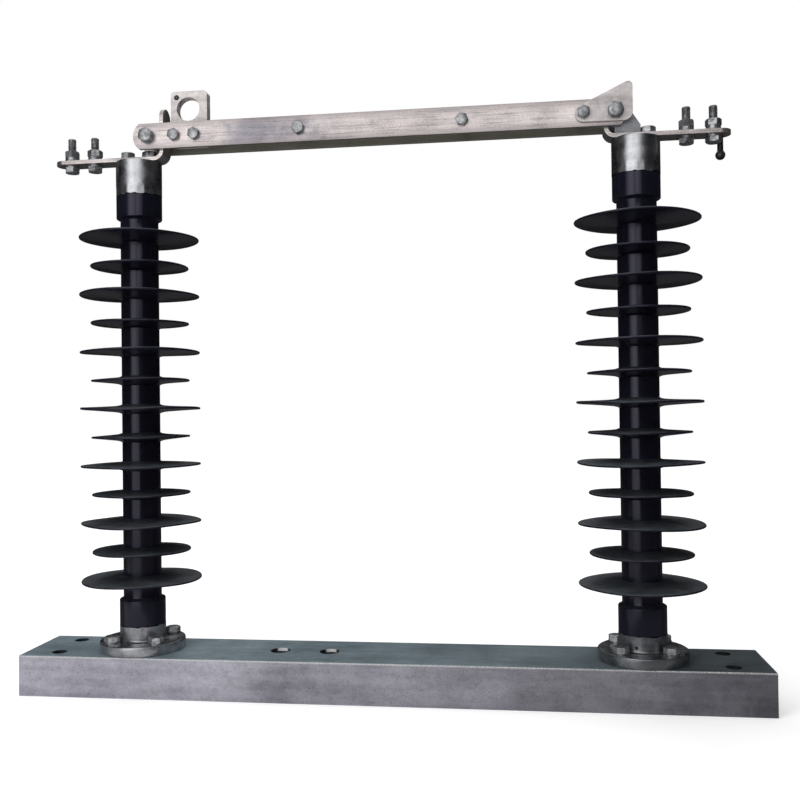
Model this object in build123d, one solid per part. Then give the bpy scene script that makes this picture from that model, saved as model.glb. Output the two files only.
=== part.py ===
from build123d import *
import math
import os

# Single-pole knife disconnect switch. Millimetres, +X along the base channel from the contact end to
# the hinge end, +Y away from the viewer of the closed blades, +Z up. The origin is the centre of the
# base channel's underside.

# Base channel: hot-rolled section, web on top, flanges down
channel_length = 870.0
channel_width = 100.0
channel_height = 48.0
web_thickness = 5.3
flange_thickness = 8.5
flange_slope = 0.1
flange_root_radius = 3.5
flange_toe_radius = 3.5
channel_edge_radius = 1.2
end_hole_radius = 8.75
end_hole_inset = 41.0
end_hole_edge_distance = 21.0
middle_hole_radius = 12.0
middle_hole_spacing = 60.0
middle_hole_centre_x = -96.5

# Post insulators
post_inset = 135.0
flange_disc_overhang = 1.0
flange_disc_thickness = 12.0
flange_neck_radius = 27.5
flange_neck_fillet = 2.4
flange_neck_height = 19.0
flange_bolt_inset = 11.0
socket_radius = 23.0
socket_length = 26.0
rod_radius = 15.0
rod_seat_depth = 26.0
core_radius = 22.7
sleeve_radius = 27.3
sleeve_length = 32.5
sleeve_shoulder = 3.0
top_sleeve_length = 29.0
cap_radius = 27.5
cap_height = 43.0
post_height = 597.0
large_shed_radius = 71.5
small_shed_radius = 58.7
shed_count = 13
lowest_shed_height = 85.2
top_shed_below_post_top = 94.2
shed_rim_thickness = 2.6
shed_top_rise = 2.4
shed_under_drop = 3.6

# Flat copper bar of both terminals
bar_width = 25.0
bar_thickness = 5.0
bar_bend_radius = 7.0
terminal_overhang = 106.0
tongue_inset = 36.5
contact_tongue_height = 65.0
hinge_lip_height = 12.5
terminal_bolt_inset = 19.0
terminal_bolt_spacing = 30.0
cap_bolt_spacing = 28.0
cap_bolt_depth = 15.0

# Knife blades
blade_height = 31.0
blade_thickness = 5.0
blade_end_radius = 19.3
contact_clearance = 0.3
pivot_inset = 24.0
pivot_above_bar = 23.2
blade_past_pivot = 13.0
contact_bolt_inset = 18.0
left_spacer_inset = 206.5
right_spacer_inset = 187.5
stop_bolt_from_pivot = 35.7

# Opening stop plates, outside the blades
stop_thickness = 3.0
stop_edge_past_pivot = 19.2
stop_top_above_pivot = 33.2
stop_bottom_below_pivot = 11.2
stop_tail_radius = 9.9
stop_tail_drop = 1.0
stop_corner_radius = 5.0
stop_heel_radius = 10.0

# Hinge bracket: a channel of plate on the terminal bar, ears between the blades
ear_thickness = 3.0
ear_head_radius = 16.0
ear_before_pivot = 0.3
ear_past_pivot = 28.5
ear_side_height = 9.0
ear_corner_radius = 0.5
bracket_foot_thickness = 4.0

# Pull ring: two leaves of sheet joined by a folded bridge
ring_leaf_thickness = 2.5
ring_depth = 12.0
ring_inset = 44.0
ring_width = 46.0
ring_top_above_pivot = 56.5
ring_bottom_below_pivot = 11.0
ring_corner_radius = 5.0
eye_radius = 14.3
eye_inset = 22.0
eye_above_pivot = 34.4
ring_bolt_insets = (8.0, 33.5)
ring_bridge_height = 16.0
ring_rivet_inset = 7.5
ring_rivet_above_pivot = 49.0
ring_rivet_radius = 2.2
ring_rivet_head_radius = 3.2
ring_rivet_head = 1.2

# Fasteners, by thread size: shank radius, width across flats, head height, nut height
M8 = (4.0, 13.0, 5.3, 6.5)
M10 = (5.0, 16.0, 6.4, 8.4)
washer_radius = 9.0
washer_thickness = 2.0
spring_washer_radius = 8.4
spring_washer_thickness = 3.3
bolt_hole_clearance = 0.5
thread_clearance = 0.05
pivot_clearance = 0.05
bolt_end_length = 4.0
terminal_bolt_end_length = 15.5
spacer_radius = 6.0

# How far each hexagon is turned, in degrees, from two flats across Y, or from two flats level on a cross bolt
terminal_head_turns = {-1: (7.0, 0.0), 1: (-22.0, 6.0)}
terminal_nut_turns = {-1: (26.0, 50.0), 1: (14.0, -16.0)}
cap_bolt_turns = {-1: (24.0, -8.0), 1: (12.0, 41.0)}
flange_turns = (9.0, 33.0, -14.0, 21.0)
blade_bolt_turns = (18.0, -12.0, 16.0, 24.0, 32.0)
pivot_turn = -10.0
contact_turn = 22.0

# Ball-ended stub under the hinge terminal
stub_inset = 10.0
stub_y = 8.6
stub_neck_radius = 3.4
stub_drop = 25.5
stub_ball_radius = 5.6

# Heights and faces that follow
web_top = channel_height
disc_top = web_top + flange_disc_thickness
neck_top = disc_top + flange_neck_height
post_top = web_top + post_height
cap_bottom = post_top - cap_height
bar_top = post_top + bar_thickness
pivot_z = bar_top + pivot_above_bar
blade_gap = bar_width + 2 * contact_clearance
blade_inner_y = blade_gap / 2
blade_outer_y = blade_inner_y + blade_thickness
stop_outer_y = blade_outer_y + stop_thickness
flange_disc_radius = channel_width / 2 + flange_disc_overhang
flange_bolt_circle = channel_width - 2 * flange_bolt_inset
post_x = channel_length / 2 - post_inset
shed_pitch = (post_height - lowest_shed_height - top_shed_below_post_top) / (shed_count - 1)
rod_bottom = neck_top + socket_length - 2 * rod_seat_depth
rod_top = cap_bottom - socket_length + 2 * rod_seat_depth

# Places along X that follow from the posts
terminal_reach = post_x + terminal_overhang
tongue_face_x = post_x - tongue_inset
outer_terminal_bolt_x = terminal_reach - terminal_bolt_inset
terminal_bolt_x = (outer_terminal_bolt_x - terminal_bolt_spacing, outer_terminal_bolt_x)
stub_x = terminal_reach - stub_inset
pivot_x = post_x - pivot_inset
blade_left_x = -post_x
blade_right_x = pivot_x + blade_past_pivot
contact_bolt_x = blade_left_x + contact_bolt_inset
spacer_x = (blade_left_x + left_spacer_inset, blade_right_x - right_spacer_inset)
stop_bolt_x = pivot_x - stop_bolt_from_pivot
stop_edge_x = pivot_x + stop_edge_past_pivot
ear_left_x = pivot_x - ear_before_pivot
ear_right_x = pivot_x + ear_past_pivot
ring_left_x = blade_left_x + ring_inset
ring_right_x = ring_left_x + ring_width
eye_x = ring_left_x + eye_inset
ring_bolt_x = tuple(ring_left_x + inset for inset in ring_bolt_insets)
ring_rivet_x = ring_left_x + ring_rivet_inset

# Cutters reach this far past what they cut, and a cutter without a size of its own is this large
cut_margin = 1.0
cutter_size = 100.0


def hexagon(across_flats, height, turn):
    """A hexagonal prism standing on the XY plane, turned from two flats across Y."""
    return extrude(RegularPolygon(across_flats / 2, 6, major_radius=False, rotation=turn), amount=height)


def upright_cylinder(radius, low, high):
    """A cylinder about Z between two heights."""
    return Pos(0, 0, low) * Cylinder(radius, high - low, align=(Align.CENTER, Align.CENTER, Align.MIN))


def bolt(size, shank_length, turn):
    """A hex bolt with its head's bearing face on the XY plane, head up, shank down."""
    shank_radius, across_flats, head_height, _ = size
    return hexagon(across_flats, head_height, turn) + upright_cylinder(shank_radius, -shank_length, 0)


def nut(size, turn):
    """A hex nut standing on the XY plane."""
    shank_radius, across_flats, _, nut_height = size
    return hexagon(across_flats, nut_height, turn) - upright_cylinder(
        shank_radius + thread_clearance, -cut_margin, nut_height + cut_margin
    )


def washer(radius, bore, thickness):
    """A plain washer standing on the XY plane."""
    return upright_cylinder(radius, 0, thickness) - upright_cylinder(
        bore, -cut_margin, thickness + cut_margin
    )


def crosswise(solid, x, y, z):
    """Turns a piece made along Z so that its +Z points to -Y, at the given place."""
    return Pos(x, y, z) * Rot(90, 0, 0) * solid


def write(name, *solids):
    """Writes one node as a STEP file, from solids that don't touch."""
    node = solids[0] if len(solids) == 1 else Compound(children=list(solids))
    export_step(node, f"parts/{name}.step")


# Base channel

def corners_at(section, x, y):
    """The corners of a flat face at (x, y) and (-x, y)."""
    return section.vertices().filter_by(lambda v: abs(abs(v.X) - x) < 0.01 and abs(v.Y - y) < 0.01)


def channel_section():
    """The hot-rolled section in (y, z): flanges that taper towards their rounded toes."""
    half = channel_width / 2
    mid_height = (channel_height - web_thickness) / 2
    toe = flange_thickness - flange_slope * mid_height
    root = flange_thickness + flange_slope * mid_height
    web_bottom = channel_height - web_thickness
    right_side = [(half - root, web_bottom), (half - toe, 0), (half, 0), (half, channel_height)]
    left_side = [(-y, z) for y, z in reversed(right_side)]
    section = make_face(Polyline(*right_side, *left_side, close=True))
    section = fillet(corners_at(section, half - toe, 0), flange_toe_radius)
    section = fillet(corners_at(section, half - root, web_bottom), flange_root_radius)
    return fillet(corners_at(section, half, channel_height), channel_edge_radius)


def flange_bolt_places(post):
    """The four bolts of a post's flange disc, on the diagonals."""
    half = flange_bolt_circle / 2 * math.cos(math.radians(45))
    return [(post + sx * half, sy * half) for sx in (-1, 1) for sy in (-1, 1)]


def base_channel():
    """The channel with its end, middle and flange bolt holes through the web."""
    channel = extrude(Plane.YZ * channel_section(), amount=channel_length / 2, both=True)
    end_hole_x = channel_length / 2 - end_hole_inset
    end_hole_y = channel_width / 2 - end_hole_edge_distance
    holes = [(sx * end_hole_x, sy * end_hole_y, end_hole_radius) for sx in (-1, 1) for sy in (-1, 1)]
    holes += [
        (middle_hole_centre_x + side * middle_hole_spacing / 2, 0, middle_hole_radius)
        for side in (-1, 1)
    ]
    for post in (-post_x, post_x):
        holes += [(x, y, M10[0] + bolt_hole_clearance) for x, y in flange_bolt_places(post)]
    for x, y, radius in holes:
        channel -= Pos(x, y, 0) * upright_cylinder(radius, 0, channel_height + cut_margin)
    return channel


# Post insulators, about their own axis

def bottom_fitting():
    """Flange disc with a filleted neck, and the socket crimped on the rod inside the sleeve."""
    disc = upright_cylinder(flange_disc_radius, web_top, disc_top)
    neck = upright_cylinder(flange_neck_radius, disc_top, neck_top)
    fitting = disc + neck
    foot = fitting.edges().filter_by(GeomType.CIRCLE).filter_by(
        lambda e: abs(e.center().Z - disc_top) < 0.01 and abs(e.radius - flange_neck_radius) < 0.01
    )
    fitting = fillet(foot, flange_neck_fillet)
    fitting += upright_cylinder(socket_radius, neck_top, neck_top + socket_length)
    fitting -= upright_cylinder(rod_radius, rod_bottom, rod_top)
    for x, y in flange_bolt_places(0):
        fitting -= Pos(x, y, 0) * upright_cylinder(
            M10[0] + bolt_hole_clearance, web_top - cut_margin, disc_top + cut_margin
        )
    return fitting


def cap_bolt_offsets():
    """The two cap bolts, either side of the post's axis."""
    return (-cap_bolt_spacing / 2, cap_bolt_spacing / 2)


def top_cap():
    """Metal cap with its crimped socket, a blind bore for the rod and two tapped holes in its top."""
    cap = upright_cylinder(cap_radius, cap_bottom, post_top)
    cap += upright_cylinder(socket_radius, cap_bottom - socket_length, cap_bottom)
    cap -= upright_cylinder(rod_radius, rod_bottom, rod_top)
    for x in cap_bolt_offsets():
        cap -= Pos(x, 0, 0) * upright_cylinder(
            M10[0] + thread_clearance, post_top - cap_bolt_depth - cut_margin, post_top + cut_margin
        )
    return cap


def shed_outline(height, radius):
    """One shed in (r, z), from under its root to over it: a thin rim on a double taper."""
    half_rim = shed_rim_thickness / 2
    return [
        (core_radius, height - half_rim - shed_under_drop),
        (radius, height - half_rim),
        (radius, height + half_rim),
        (core_radius, height + half_rim + shed_top_rise),
    ]


def housing():
    """Silicone housing: end sleeves over the sockets, and sheds large and small by turns."""
    low = neck_top
    high = cap_bottom
    points = [
        (socket_radius, low),
        (sleeve_radius, low),
        (sleeve_radius, low + sleeve_length - sleeve_shoulder),
        (core_radius, low + sleeve_length),
    ]
    for index in range(shed_count):
        radius = large_shed_radius if index % 2 == 0 else small_shed_radius
        points += shed_outline(web_top + lowest_shed_height + index * shed_pitch, radius)
    points += [
        (core_radius, high - top_sleeve_length),
        (sleeve_radius, high - top_sleeve_length + sleeve_shoulder),
        (sleeve_radius, high),
        (socket_radius, high),
        (socket_radius, high - socket_length),
        (rod_radius, high - socket_length),
        (rod_radius, low + socket_length),
        (socket_radius, low + socket_length),
    ]
    profile = make_face(Polyline(*points, close=True))
    return revolve(Plane.XZ * profile, Axis.Z)


# Terminals

def terminal_bar(tip_height):
    """Flat bar on the left post: rounded outer end, and inner end turned up to tip_height over it."""
    low = post_top
    high = post_top + bar_thickness
    outer_radius = bar_bend_radius + bar_thickness
    section = Pos(-(terminal_reach + tongue_face_x) / 2, (low + high) / 2) * Rectangle(
        terminal_reach - tongue_face_x, bar_thickness
    )
    section += Pos(-tongue_face_x - bar_thickness / 2, low + tip_height / 2) * Rectangle(
        bar_thickness, tip_height
    )
    section = fillet(corners_at(section, tongue_face_x, low), outer_radius)
    section = fillet(corners_at(section, tongue_face_x + bar_thickness, high), bar_bend_radius)
    bar = extrude(Plane.XZ * section, amount=bar_width / 2, both=True)
    half = bar_width / 2
    end_x = -terminal_reach + half
    plan = Pos((end_x - tongue_face_x) / 2, 0) * Rectangle(-tongue_face_x - end_x, bar_width)
    plan += Pos(end_x, 0) * Circle(half)
    bar = bar & extrude(Plane.XY.offset(low) * plan, amount=tip_height)
    for x in (*terminal_bolt_x, *(post_x + offset for offset in cap_bolt_offsets())):
        bar -= Pos(-x, 0, 0) * upright_cylinder(
            M10[0] + bolt_hole_clearance, low - cut_margin, high + cut_margin
        )
    return bar


def left_terminal():
    """Fixed contact: the tongue stands between the closed blades and ends in a dome."""
    bar = terminal_bar(contact_tongue_height)
    half = bar_width / 2
    dome_z = post_top + contact_tongue_height - half
    front = Pos(0, (post_top + dome_z) / 2) * Rectangle(bar_width, dome_z - post_top)
    front += Pos(0, dome_z) * Circle(half)
    return bar & extrude(Plane.YZ.offset(-terminal_reach) * front, amount=terminal_reach)


def right_terminal():
    """Hinge terminal: the same bar, its inner end turned up to a low lip, and the stub's hole."""
    bar = mirror(terminal_bar(hinge_lip_height), Plane.YZ)
    return bar - Pos(stub_x, stub_y, 0) * upright_cylinder(
        stub_neck_radius, post_top - cut_margin, bar_top + cut_margin
    )


def tangent_circles_outline(*circles):
    """The convex outline round circles given as (x, z, radius)."""
    rims = [Pos(x, z) * Circle(radius) for x, z, radius in circles]
    return make_hull(ShapeList(edge for rim in rims for edge in rim.edges()))


def hinge_bracket():
    """Channel of plate: a foot under the inner cap bolt, and two ears that carry the pivot."""
    corner = ear_corner_radius
    ear = tangent_circles_outline(
        (pivot_x, pivot_z, ear_head_radius),
        (ear_right_x - corner, bar_top + ear_side_height - corner, corner),
        (ear_right_x - corner, bar_top + corner, corner),
        (ear_left_x + corner, bar_top + corner, corner),
    )
    half_cutter = cutter_size / 2
    ear -= Pos(ear_left_x - half_cutter, pivot_z - half_cutter) * Rectangle(cutter_size, cutter_size)
    ear += Pos(pivot_x, pivot_z) * Circle(ear_head_radius)
    ear -= Pos(pivot_x, pivot_z) * Circle(M10[0] + pivot_clearance)
    plate = extrude(Plane.XZ * ear, amount=bar_width / 2, both=True)
    inner_width = bar_width - 2 * ear_thickness
    gap_bottom = bar_top + bracket_foot_thickness
    plate -= Pos(pivot_x, 0, gap_bottom + half_cutter) * Box(cutter_size, inner_width, cutter_size)
    inner_bolt_x = post_x - cap_bolt_spacing / 2
    return plate - Pos(inner_bolt_x, 0, 0) * upright_cylinder(
        M10[0] + bolt_hole_clearance, bar_top - cut_margin, gap_bottom + cut_margin
    )


def ball_stub():
    """Ball-ended stub held in the end of the hinge terminal, hanging below it."""
    ball_z = bar_top - stub_drop
    stub = upright_cylinder(stub_neck_radius, ball_z, bar_top) + Pos(0, 0, ball_z) * Sphere(stub_ball_radius)
    return Pos(stub_x, stub_y, 0) * stub


# Knife blades

def blade(inner_y, outer_y):
    """A flat bar with bowed ends, drilled for every bolt that crosses it."""
    length = blade_right_x - blade_left_x
    middle = (blade_left_x + blade_right_x) / 2
    outline = Pos(middle, pivot_z) * Rectangle(length, blade_height)
    for end, direction in ((blade_left_x, 1), (blade_right_x, -1)):
        bow = Pos(end + direction * blade_end_radius, pivot_z) * Circle(blade_end_radius)
        body = Pos(end + direction * (blade_end_radius + length / 2), pivot_z) * Rectangle(
            length, 2 * blade_height
        )
        outline = outline & (bow + body)
    for x in (*spacer_x, *ring_bolt_x, stop_bolt_x):
        outline -= Pos(x, pivot_z) * Circle(M8[0] + thread_clearance)
    for x in (pivot_x, contact_bolt_x):
        outline -= Pos(x, pivot_z) * Circle(M10[0] + thread_clearance)
    return extrude(Plane.XZ.offset(-outer_y) * outline, amount=outer_y - inner_y)


def stop_plate(inner_y, outer_y):
    """Corner plate that meets the hinge post's cap when the blades stand open."""
    top = pivot_z + stop_top_above_pivot - stop_corner_radius
    heel = pivot_z - stop_bottom_below_pivot + stop_heel_radius
    outline = tangent_circles_outline(
        (stop_bolt_x, pivot_z - stop_tail_drop, stop_tail_radius),
        (stop_edge_x - stop_corner_radius, top, stop_corner_radius),
        (stop_edge_x - stop_heel_radius, heel, stop_heel_radius),
    )
    outline -= Pos(stop_bolt_x, pivot_z) * Circle(M8[0] + thread_clearance)
    outline -= Pos(pivot_x, pivot_z) * Circle(M10[0] + thread_clearance)
    return extrude(Plane.XZ.offset(-outer_y) * outline, amount=outer_y - inner_y)


def pull_ring():
    """Two leaves with one eye, joined by a folded bridge at the top of one edge."""
    bottom = pivot_z - ring_bottom_below_pivot
    top = pivot_z + ring_top_above_pivot
    width = ring_right_x - ring_left_x
    leaf = Pos((ring_left_x + ring_right_x) / 2, (bottom + top) / 2) * RectangleRounded(
        width, top - bottom, ring_corner_radius
    )
    leaf -= Pos(eye_x, pivot_z + eye_above_pivot) * Circle(eye_radius)
    for x in ring_bolt_x:
        leaf -= Pos(x, pivot_z) * Circle(M8[0] + thread_clearance)
    leaf -= Pos(ring_rivet_x, pivot_z + ring_rivet_above_pivot) * Circle(ring_rivet_radius)
    ring = extrude(Plane.XZ * leaf, amount=ring_depth / 2, both=True)
    bridge_top = top - ring_corner_radius
    gap = Pos((ring_left_x + ring_right_x) / 2, 0, (bottom + top) / 2) * Box(
        cutter_size, ring_depth - 2 * ring_leaf_thickness, cutter_size
    )
    gap -= Pos(ring_right_x - ring_leaf_thickness / 2, 0, bridge_top - ring_bridge_height / 2) * Box(
        ring_leaf_thickness, ring_depth, ring_bridge_height
    )
    return ring - gap


def ring_rivet():
    """Rivet through both leaves, with a flat head outside each."""
    half = ring_depth / 2
    shank = upright_cylinder(ring_rivet_radius, -half, half)
    for low in (-half - ring_rivet_head, half):
        shank += upright_cylinder(ring_rivet_head_radius, low, low + ring_rivet_head)
    return crosswise(shank, ring_rivet_x, 0, pivot_z + ring_rivet_above_pivot)


def spacer(x, low_y, high_y, bore):
    """A tube on a cross bolt between two faces."""
    tube = washer(spacer_radius + bore - M8[0], bore + thread_clearance, high_y - low_y)
    return crosswise(tube, x, high_y, pivot_z)


def cross_bolt(size, x, seat, turn):
    """A bolt along Y from the front, its head's bearing face this far before the middle plane."""
    return crosswise(bolt(size, 2 * seat + size[3] + bolt_end_length, turn), x, -seat, pivot_z)


def cross_nut(size, x, seat, turn):
    """The nut of a cross bolt, its bearing face this far behind the middle plane."""
    return crosswise(nut(size, turn), x, seat + size[3], pivot_z)


def cross_washer(size, x, y):
    """A washer whose front face lies at y, on a cross bolt."""
    return crosswise(
        washer(washer_radius, size[0] + thread_clearance, washer_thickness), x, y + washer_thickness, pivot_z
    )


def terminal_hardware(side):
    """Bolts head down through the bar, nuts on top, flat and spring washers between."""
    bolts, nuts, washers = [], [], []
    stack = washer_thickness + spring_washer_thickness
    bore = M10[0] + thread_clearance
    length = washer_thickness + bar_thickness + stack + M10[3] + terminal_bolt_end_length
    for x, head_turn, nut_turn in zip(terminal_bolt_x, terminal_head_turns[side], terminal_nut_turns[side]):
        place = Pos(side * x, 0, 0)
        upright_bolt = Rot(180, 0, 0) * bolt(M10, length, head_turn)
        bolts.append(place * Pos(0, 0, post_top - washer_thickness) * upright_bolt)
        nuts.append(place * Pos(0, 0, bar_top + stack) * nut(M10, nut_turn))
        washers.append(
            place * Pos(0, 0, post_top - washer_thickness) * washer(washer_radius, bore, washer_thickness)
        )
        upper = washer(washer_radius, bore, washer_thickness)
        upper += Pos(0, 0, washer_thickness) * washer(spring_washer_radius, bore, spring_washer_thickness)
        washers.append(place * Pos(0, 0, bar_top) * upper)
    return bolts, nuts, washers


def cap_hardware(side):
    """Bolts into the cap's tapped holes, each on a washer; the hinge bracket lifts the inner one."""
    bolts, washers = [], []
    for offset, turn in zip(cap_bolt_offsets(), cap_bolt_turns[side]):
        x = side * (post_x + offset)
        on_bracket = side > 0 and offset < 0
        seat = bar_top + (bracket_foot_thickness if on_bracket else 0)
        length = seat + washer_thickness - (post_top - cap_bolt_depth)
        bolts.append(Pos(x, 0, seat + washer_thickness) * bolt(M10, length, turn))
        washers.append(Pos(x, 0, seat) * washer(washer_radius, M10[0] + thread_clearance, washer_thickness))
    return bolts, washers


def flange_hardware(post):
    """Bolts down through the flange disc and the web, washers under heads, nuts inside the channel."""
    bolts, washers, nuts = [], [], []
    web_bottom = web_top - web_thickness
    length = washer_thickness + disc_top - web_bottom + M10[3] + bolt_end_length
    for (x, y), turn in zip(flange_bolt_places(post), flange_turns):
        bolts.append(Pos(x, y, disc_top + washer_thickness) * bolt(M10, length, turn))
        washers.append(
            Pos(x, y, disc_top) * washer(washer_radius, M10[0] + thread_clearance, washer_thickness)
        )
        nuts.append(Pos(x, y, web_bottom - M10[3]) * nut(M10, turn))
    return bolts, washers, nuts


os.makedirs("parts", exist_ok=True)

write("base_channel", base_channel())

for side_name, side in (("left", -1), ("right", 1)):
    at_post = Pos(side * post_x, 0, 0)
    write(f"{side_name}_bottom_fitting", at_post * bottom_fitting())
    write(f"{side_name}_core_rod", at_post * upright_cylinder(rod_radius, rod_bottom, rod_top))
    write(f"{side_name}_housing", at_post * housing())
    write(f"{side_name}_top_cap", at_post * top_cap())
    flange_bolts, flange_washers, flange_nuts = flange_hardware(side * post_x)
    write(f"{side_name}_flange_bolts", *flange_bolts)
    write(f"{side_name}_flange_washers", *flange_washers)
    write(f"{side_name}_flange_nuts", *flange_nuts)
    cap_bolts, cap_washers = cap_hardware(side)
    write(f"{side_name}_cap_bolts", *cap_bolts)
    write(f"{side_name}_cap_washers", *cap_washers)
    terminal_bolts, terminal_nuts, terminal_washers = terminal_hardware(side)
    write(f"{side_name}_terminal_bolts", *terminal_bolts)
    write(f"{side_name}_terminal_nuts", *terminal_nuts)
    write(f"{side_name}_terminal_washers", *terminal_washers)

write("left_terminal", left_terminal())
write("right_terminal", right_terminal())
write("hinge_bracket", hinge_bracket())
write("ball_stub", ball_stub())

write("front_blade", blade(-blade_outer_y, -blade_inner_y))
write("rear_blade", blade(blade_inner_y, blade_outer_y))
write("front_stop_plate", stop_plate(-stop_outer_y, -blade_outer_y))
write("rear_stop_plate", stop_plate(blade_outer_y, stop_outer_y))
write("pull_ring", pull_ring())
write("pull_ring_rivet", ring_rivet())

leaf_outer = ring_depth / 2
leaf_inner = leaf_outer - ring_leaf_thickness
spacers = [spacer(x, -blade_inner_y, blade_inner_y, M8[0]) for x in (*spacer_x, stop_bolt_x)]
spacers.append(spacer(contact_bolt_x, -blade_inner_y, blade_inner_y, M10[0]))
for x in ring_bolt_x:
    for low, high in ((-blade_inner_y, -leaf_outer), (-leaf_inner, leaf_inner), (leaf_outer, blade_inner_y)):
        spacers.append(spacer(x, low, high, M8[0]))
write("blade_spacers", *spacers)

blade_bolts, blade_nuts = [], []
blade_seats = [(x, blade_outer_y) for x in (*spacer_x, *ring_bolt_x)] + [(stop_bolt_x, stop_outer_y)]
for (x, seat), turn in zip(blade_seats, blade_bolt_turns):
    blade_bolts.append(cross_bolt(M8, x, seat, turn))
    blade_nuts.append(cross_nut(M8, x, seat, turn))
write("blade_bolts", *blade_bolts)
write("blade_nuts", *blade_nuts)

pivot_seat = stop_outer_y + washer_thickness
contact_seat = blade_outer_y + washer_thickness
write("pivot_bolt", cross_bolt(M10, pivot_x, pivot_seat, pivot_turn))
write("pivot_nut", cross_nut(M10, pivot_x, pivot_seat, pivot_turn))
write("contact_bolt", cross_bolt(M10, contact_bolt_x, contact_seat, contact_turn))
write("contact_nut", cross_nut(M10, contact_bolt_x, contact_seat, contact_turn))
write(
    "knife_bolt_washers",
    cross_washer(M10, pivot_x, -pivot_seat),
    cross_washer(M10, pivot_x, stop_outer_y),
    cross_washer(M10, contact_bolt_x, -contact_seat),
    cross_washer(M10, contact_bolt_x, blade_outer_y),
)
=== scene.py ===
"""Looks of an outdoor knife disconnect switch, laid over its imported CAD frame.

Every length is in metres, in the frame of the CAD: +Z up, the blades along X, the front towards -Y.
"""

import logging
import math
from dataclasses import dataclass, field, replace
from enum import Enum
from typing import Any

import bmesh
import bpy
import numpy as np
from mathutils import Matrix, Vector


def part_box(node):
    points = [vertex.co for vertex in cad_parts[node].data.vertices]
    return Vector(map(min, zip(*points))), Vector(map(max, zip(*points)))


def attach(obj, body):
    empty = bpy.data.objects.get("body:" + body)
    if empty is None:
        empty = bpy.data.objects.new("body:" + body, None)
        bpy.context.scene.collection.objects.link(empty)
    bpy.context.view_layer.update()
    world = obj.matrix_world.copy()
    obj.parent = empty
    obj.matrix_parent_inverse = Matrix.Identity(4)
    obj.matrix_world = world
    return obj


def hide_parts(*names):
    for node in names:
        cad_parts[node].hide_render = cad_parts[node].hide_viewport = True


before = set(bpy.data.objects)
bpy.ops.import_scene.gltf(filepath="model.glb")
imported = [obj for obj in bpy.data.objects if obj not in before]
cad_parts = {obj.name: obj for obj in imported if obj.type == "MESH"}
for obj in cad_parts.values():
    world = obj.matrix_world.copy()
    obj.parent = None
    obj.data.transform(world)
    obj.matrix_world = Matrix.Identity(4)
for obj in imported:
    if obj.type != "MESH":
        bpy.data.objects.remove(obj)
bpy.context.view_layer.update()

log = logging.getLogger("disconnect_switch")

MM = 0.001
ROUND_STEPS = 128
HEX_STEPS = 48
THREAD_STEPS = 24
RINGS_PER_PITCH = 6
CHAMFER_ANGLE = math.radians(30)
SHARP_DEGREES = 35
FORGED_SHARP_DEGREES = 30
MOULDED_SHARP_DEGREES = 50
BEVEL_ANGLE = math.radians(40)
BEVEL_SEGMENTS = 2
FLAT_ANGLE = math.radians(0.4)
MERGE_DISTANCE = 2e-6
MEASURE_SLACK = 1e-5
PLACE_DIGITS = 6
FEWEST_CORNERS = 12

Part = tuple[np.ndarray, list[list[int]]]
Spot = tuple[float, float]
Inputs = dict[int | str, Any]


# Meshes


def loft(rings: np.ndarray, loop: bool = False) -> Part:
    """Skins rings of points: point j of ring i meets points j and j + 1 of ring i + 1.

    Args:
        rings: (n, m, 3) points, each ring anticlockwise seen against the way the rings go.
        loop: True where the last ring meets the first, as round a washer. Otherwise the ends are flat.

    Returns:
        The points and the faces, which point outwards.
    """
    count, around = rings.shape[:2]
    i, j = np.meshgrid(np.arange(count if loop else count - 1), np.arange(around), indexing="ij")
    above, beside = (i + 1) % count, (j + 1) % around
    corners = [i * around + j, i * around + beside, above * around + beside, above * around + j]
    faces = np.stack(corners, axis=-1).reshape(-1, 4).tolist()
    if not loop:
        faces.append(list(range(around))[::-1])
        faces.append(list(range((count - 1) * around, count * around)))
    return rings.reshape(-1, 3), faces


def turned(
    radius: np.ndarray, height: np.ndarray, steps: int = ROUND_STEPS, start: float = 0.0
) -> np.ndarray:
    """Rings about +Z: x = r cos a, y = r sin a, z = h, with a going once round from start.

    Args:
        radius: (n,) or (n, steps) distances from the axis.
        height: (n,) or (n, steps) heights.
        steps: points in each ring.
        start: the angle of the first point.

    Returns:
        (n, steps, 3) points.
    """
    angle = start + np.arange(steps) * (2 * np.pi / steps)
    radius = np.broadcast_to(np.reshape(radius, (len(radius), -1)), (len(radius), steps))
    height = np.broadcast_to(np.reshape(height, (len(height), -1)), (len(height), steps))
    return np.stack([radius * np.cos(angle), radius * np.sin(angle), height], axis=-1)


def arc(centre: Spot, radius: float, start: float, end: float, steps: int) -> np.ndarray:
    """Points (r, z) of an arc: centre + radius (cos a, sin a), a from start to end in degrees."""
    angle = np.radians(np.linspace(start, end, steps))
    return np.stack([centre[0] + radius * np.cos(angle), centre[1] + radius * np.sin(angle)], axis=-1)


def in_scene(name: str, data: bpy.types.ID) -> bpy.types.Object:
    """Makes an object of some data, at the origin, and links it into the scene.

    Args:
        name: the object's name.
        data: the mesh, lamp or camera that it shows.

    Returns:
        The object.
    """
    made = bpy.data.objects.new(name, data)
    bpy.context.scene.collection.objects.link(made)
    return made


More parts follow.
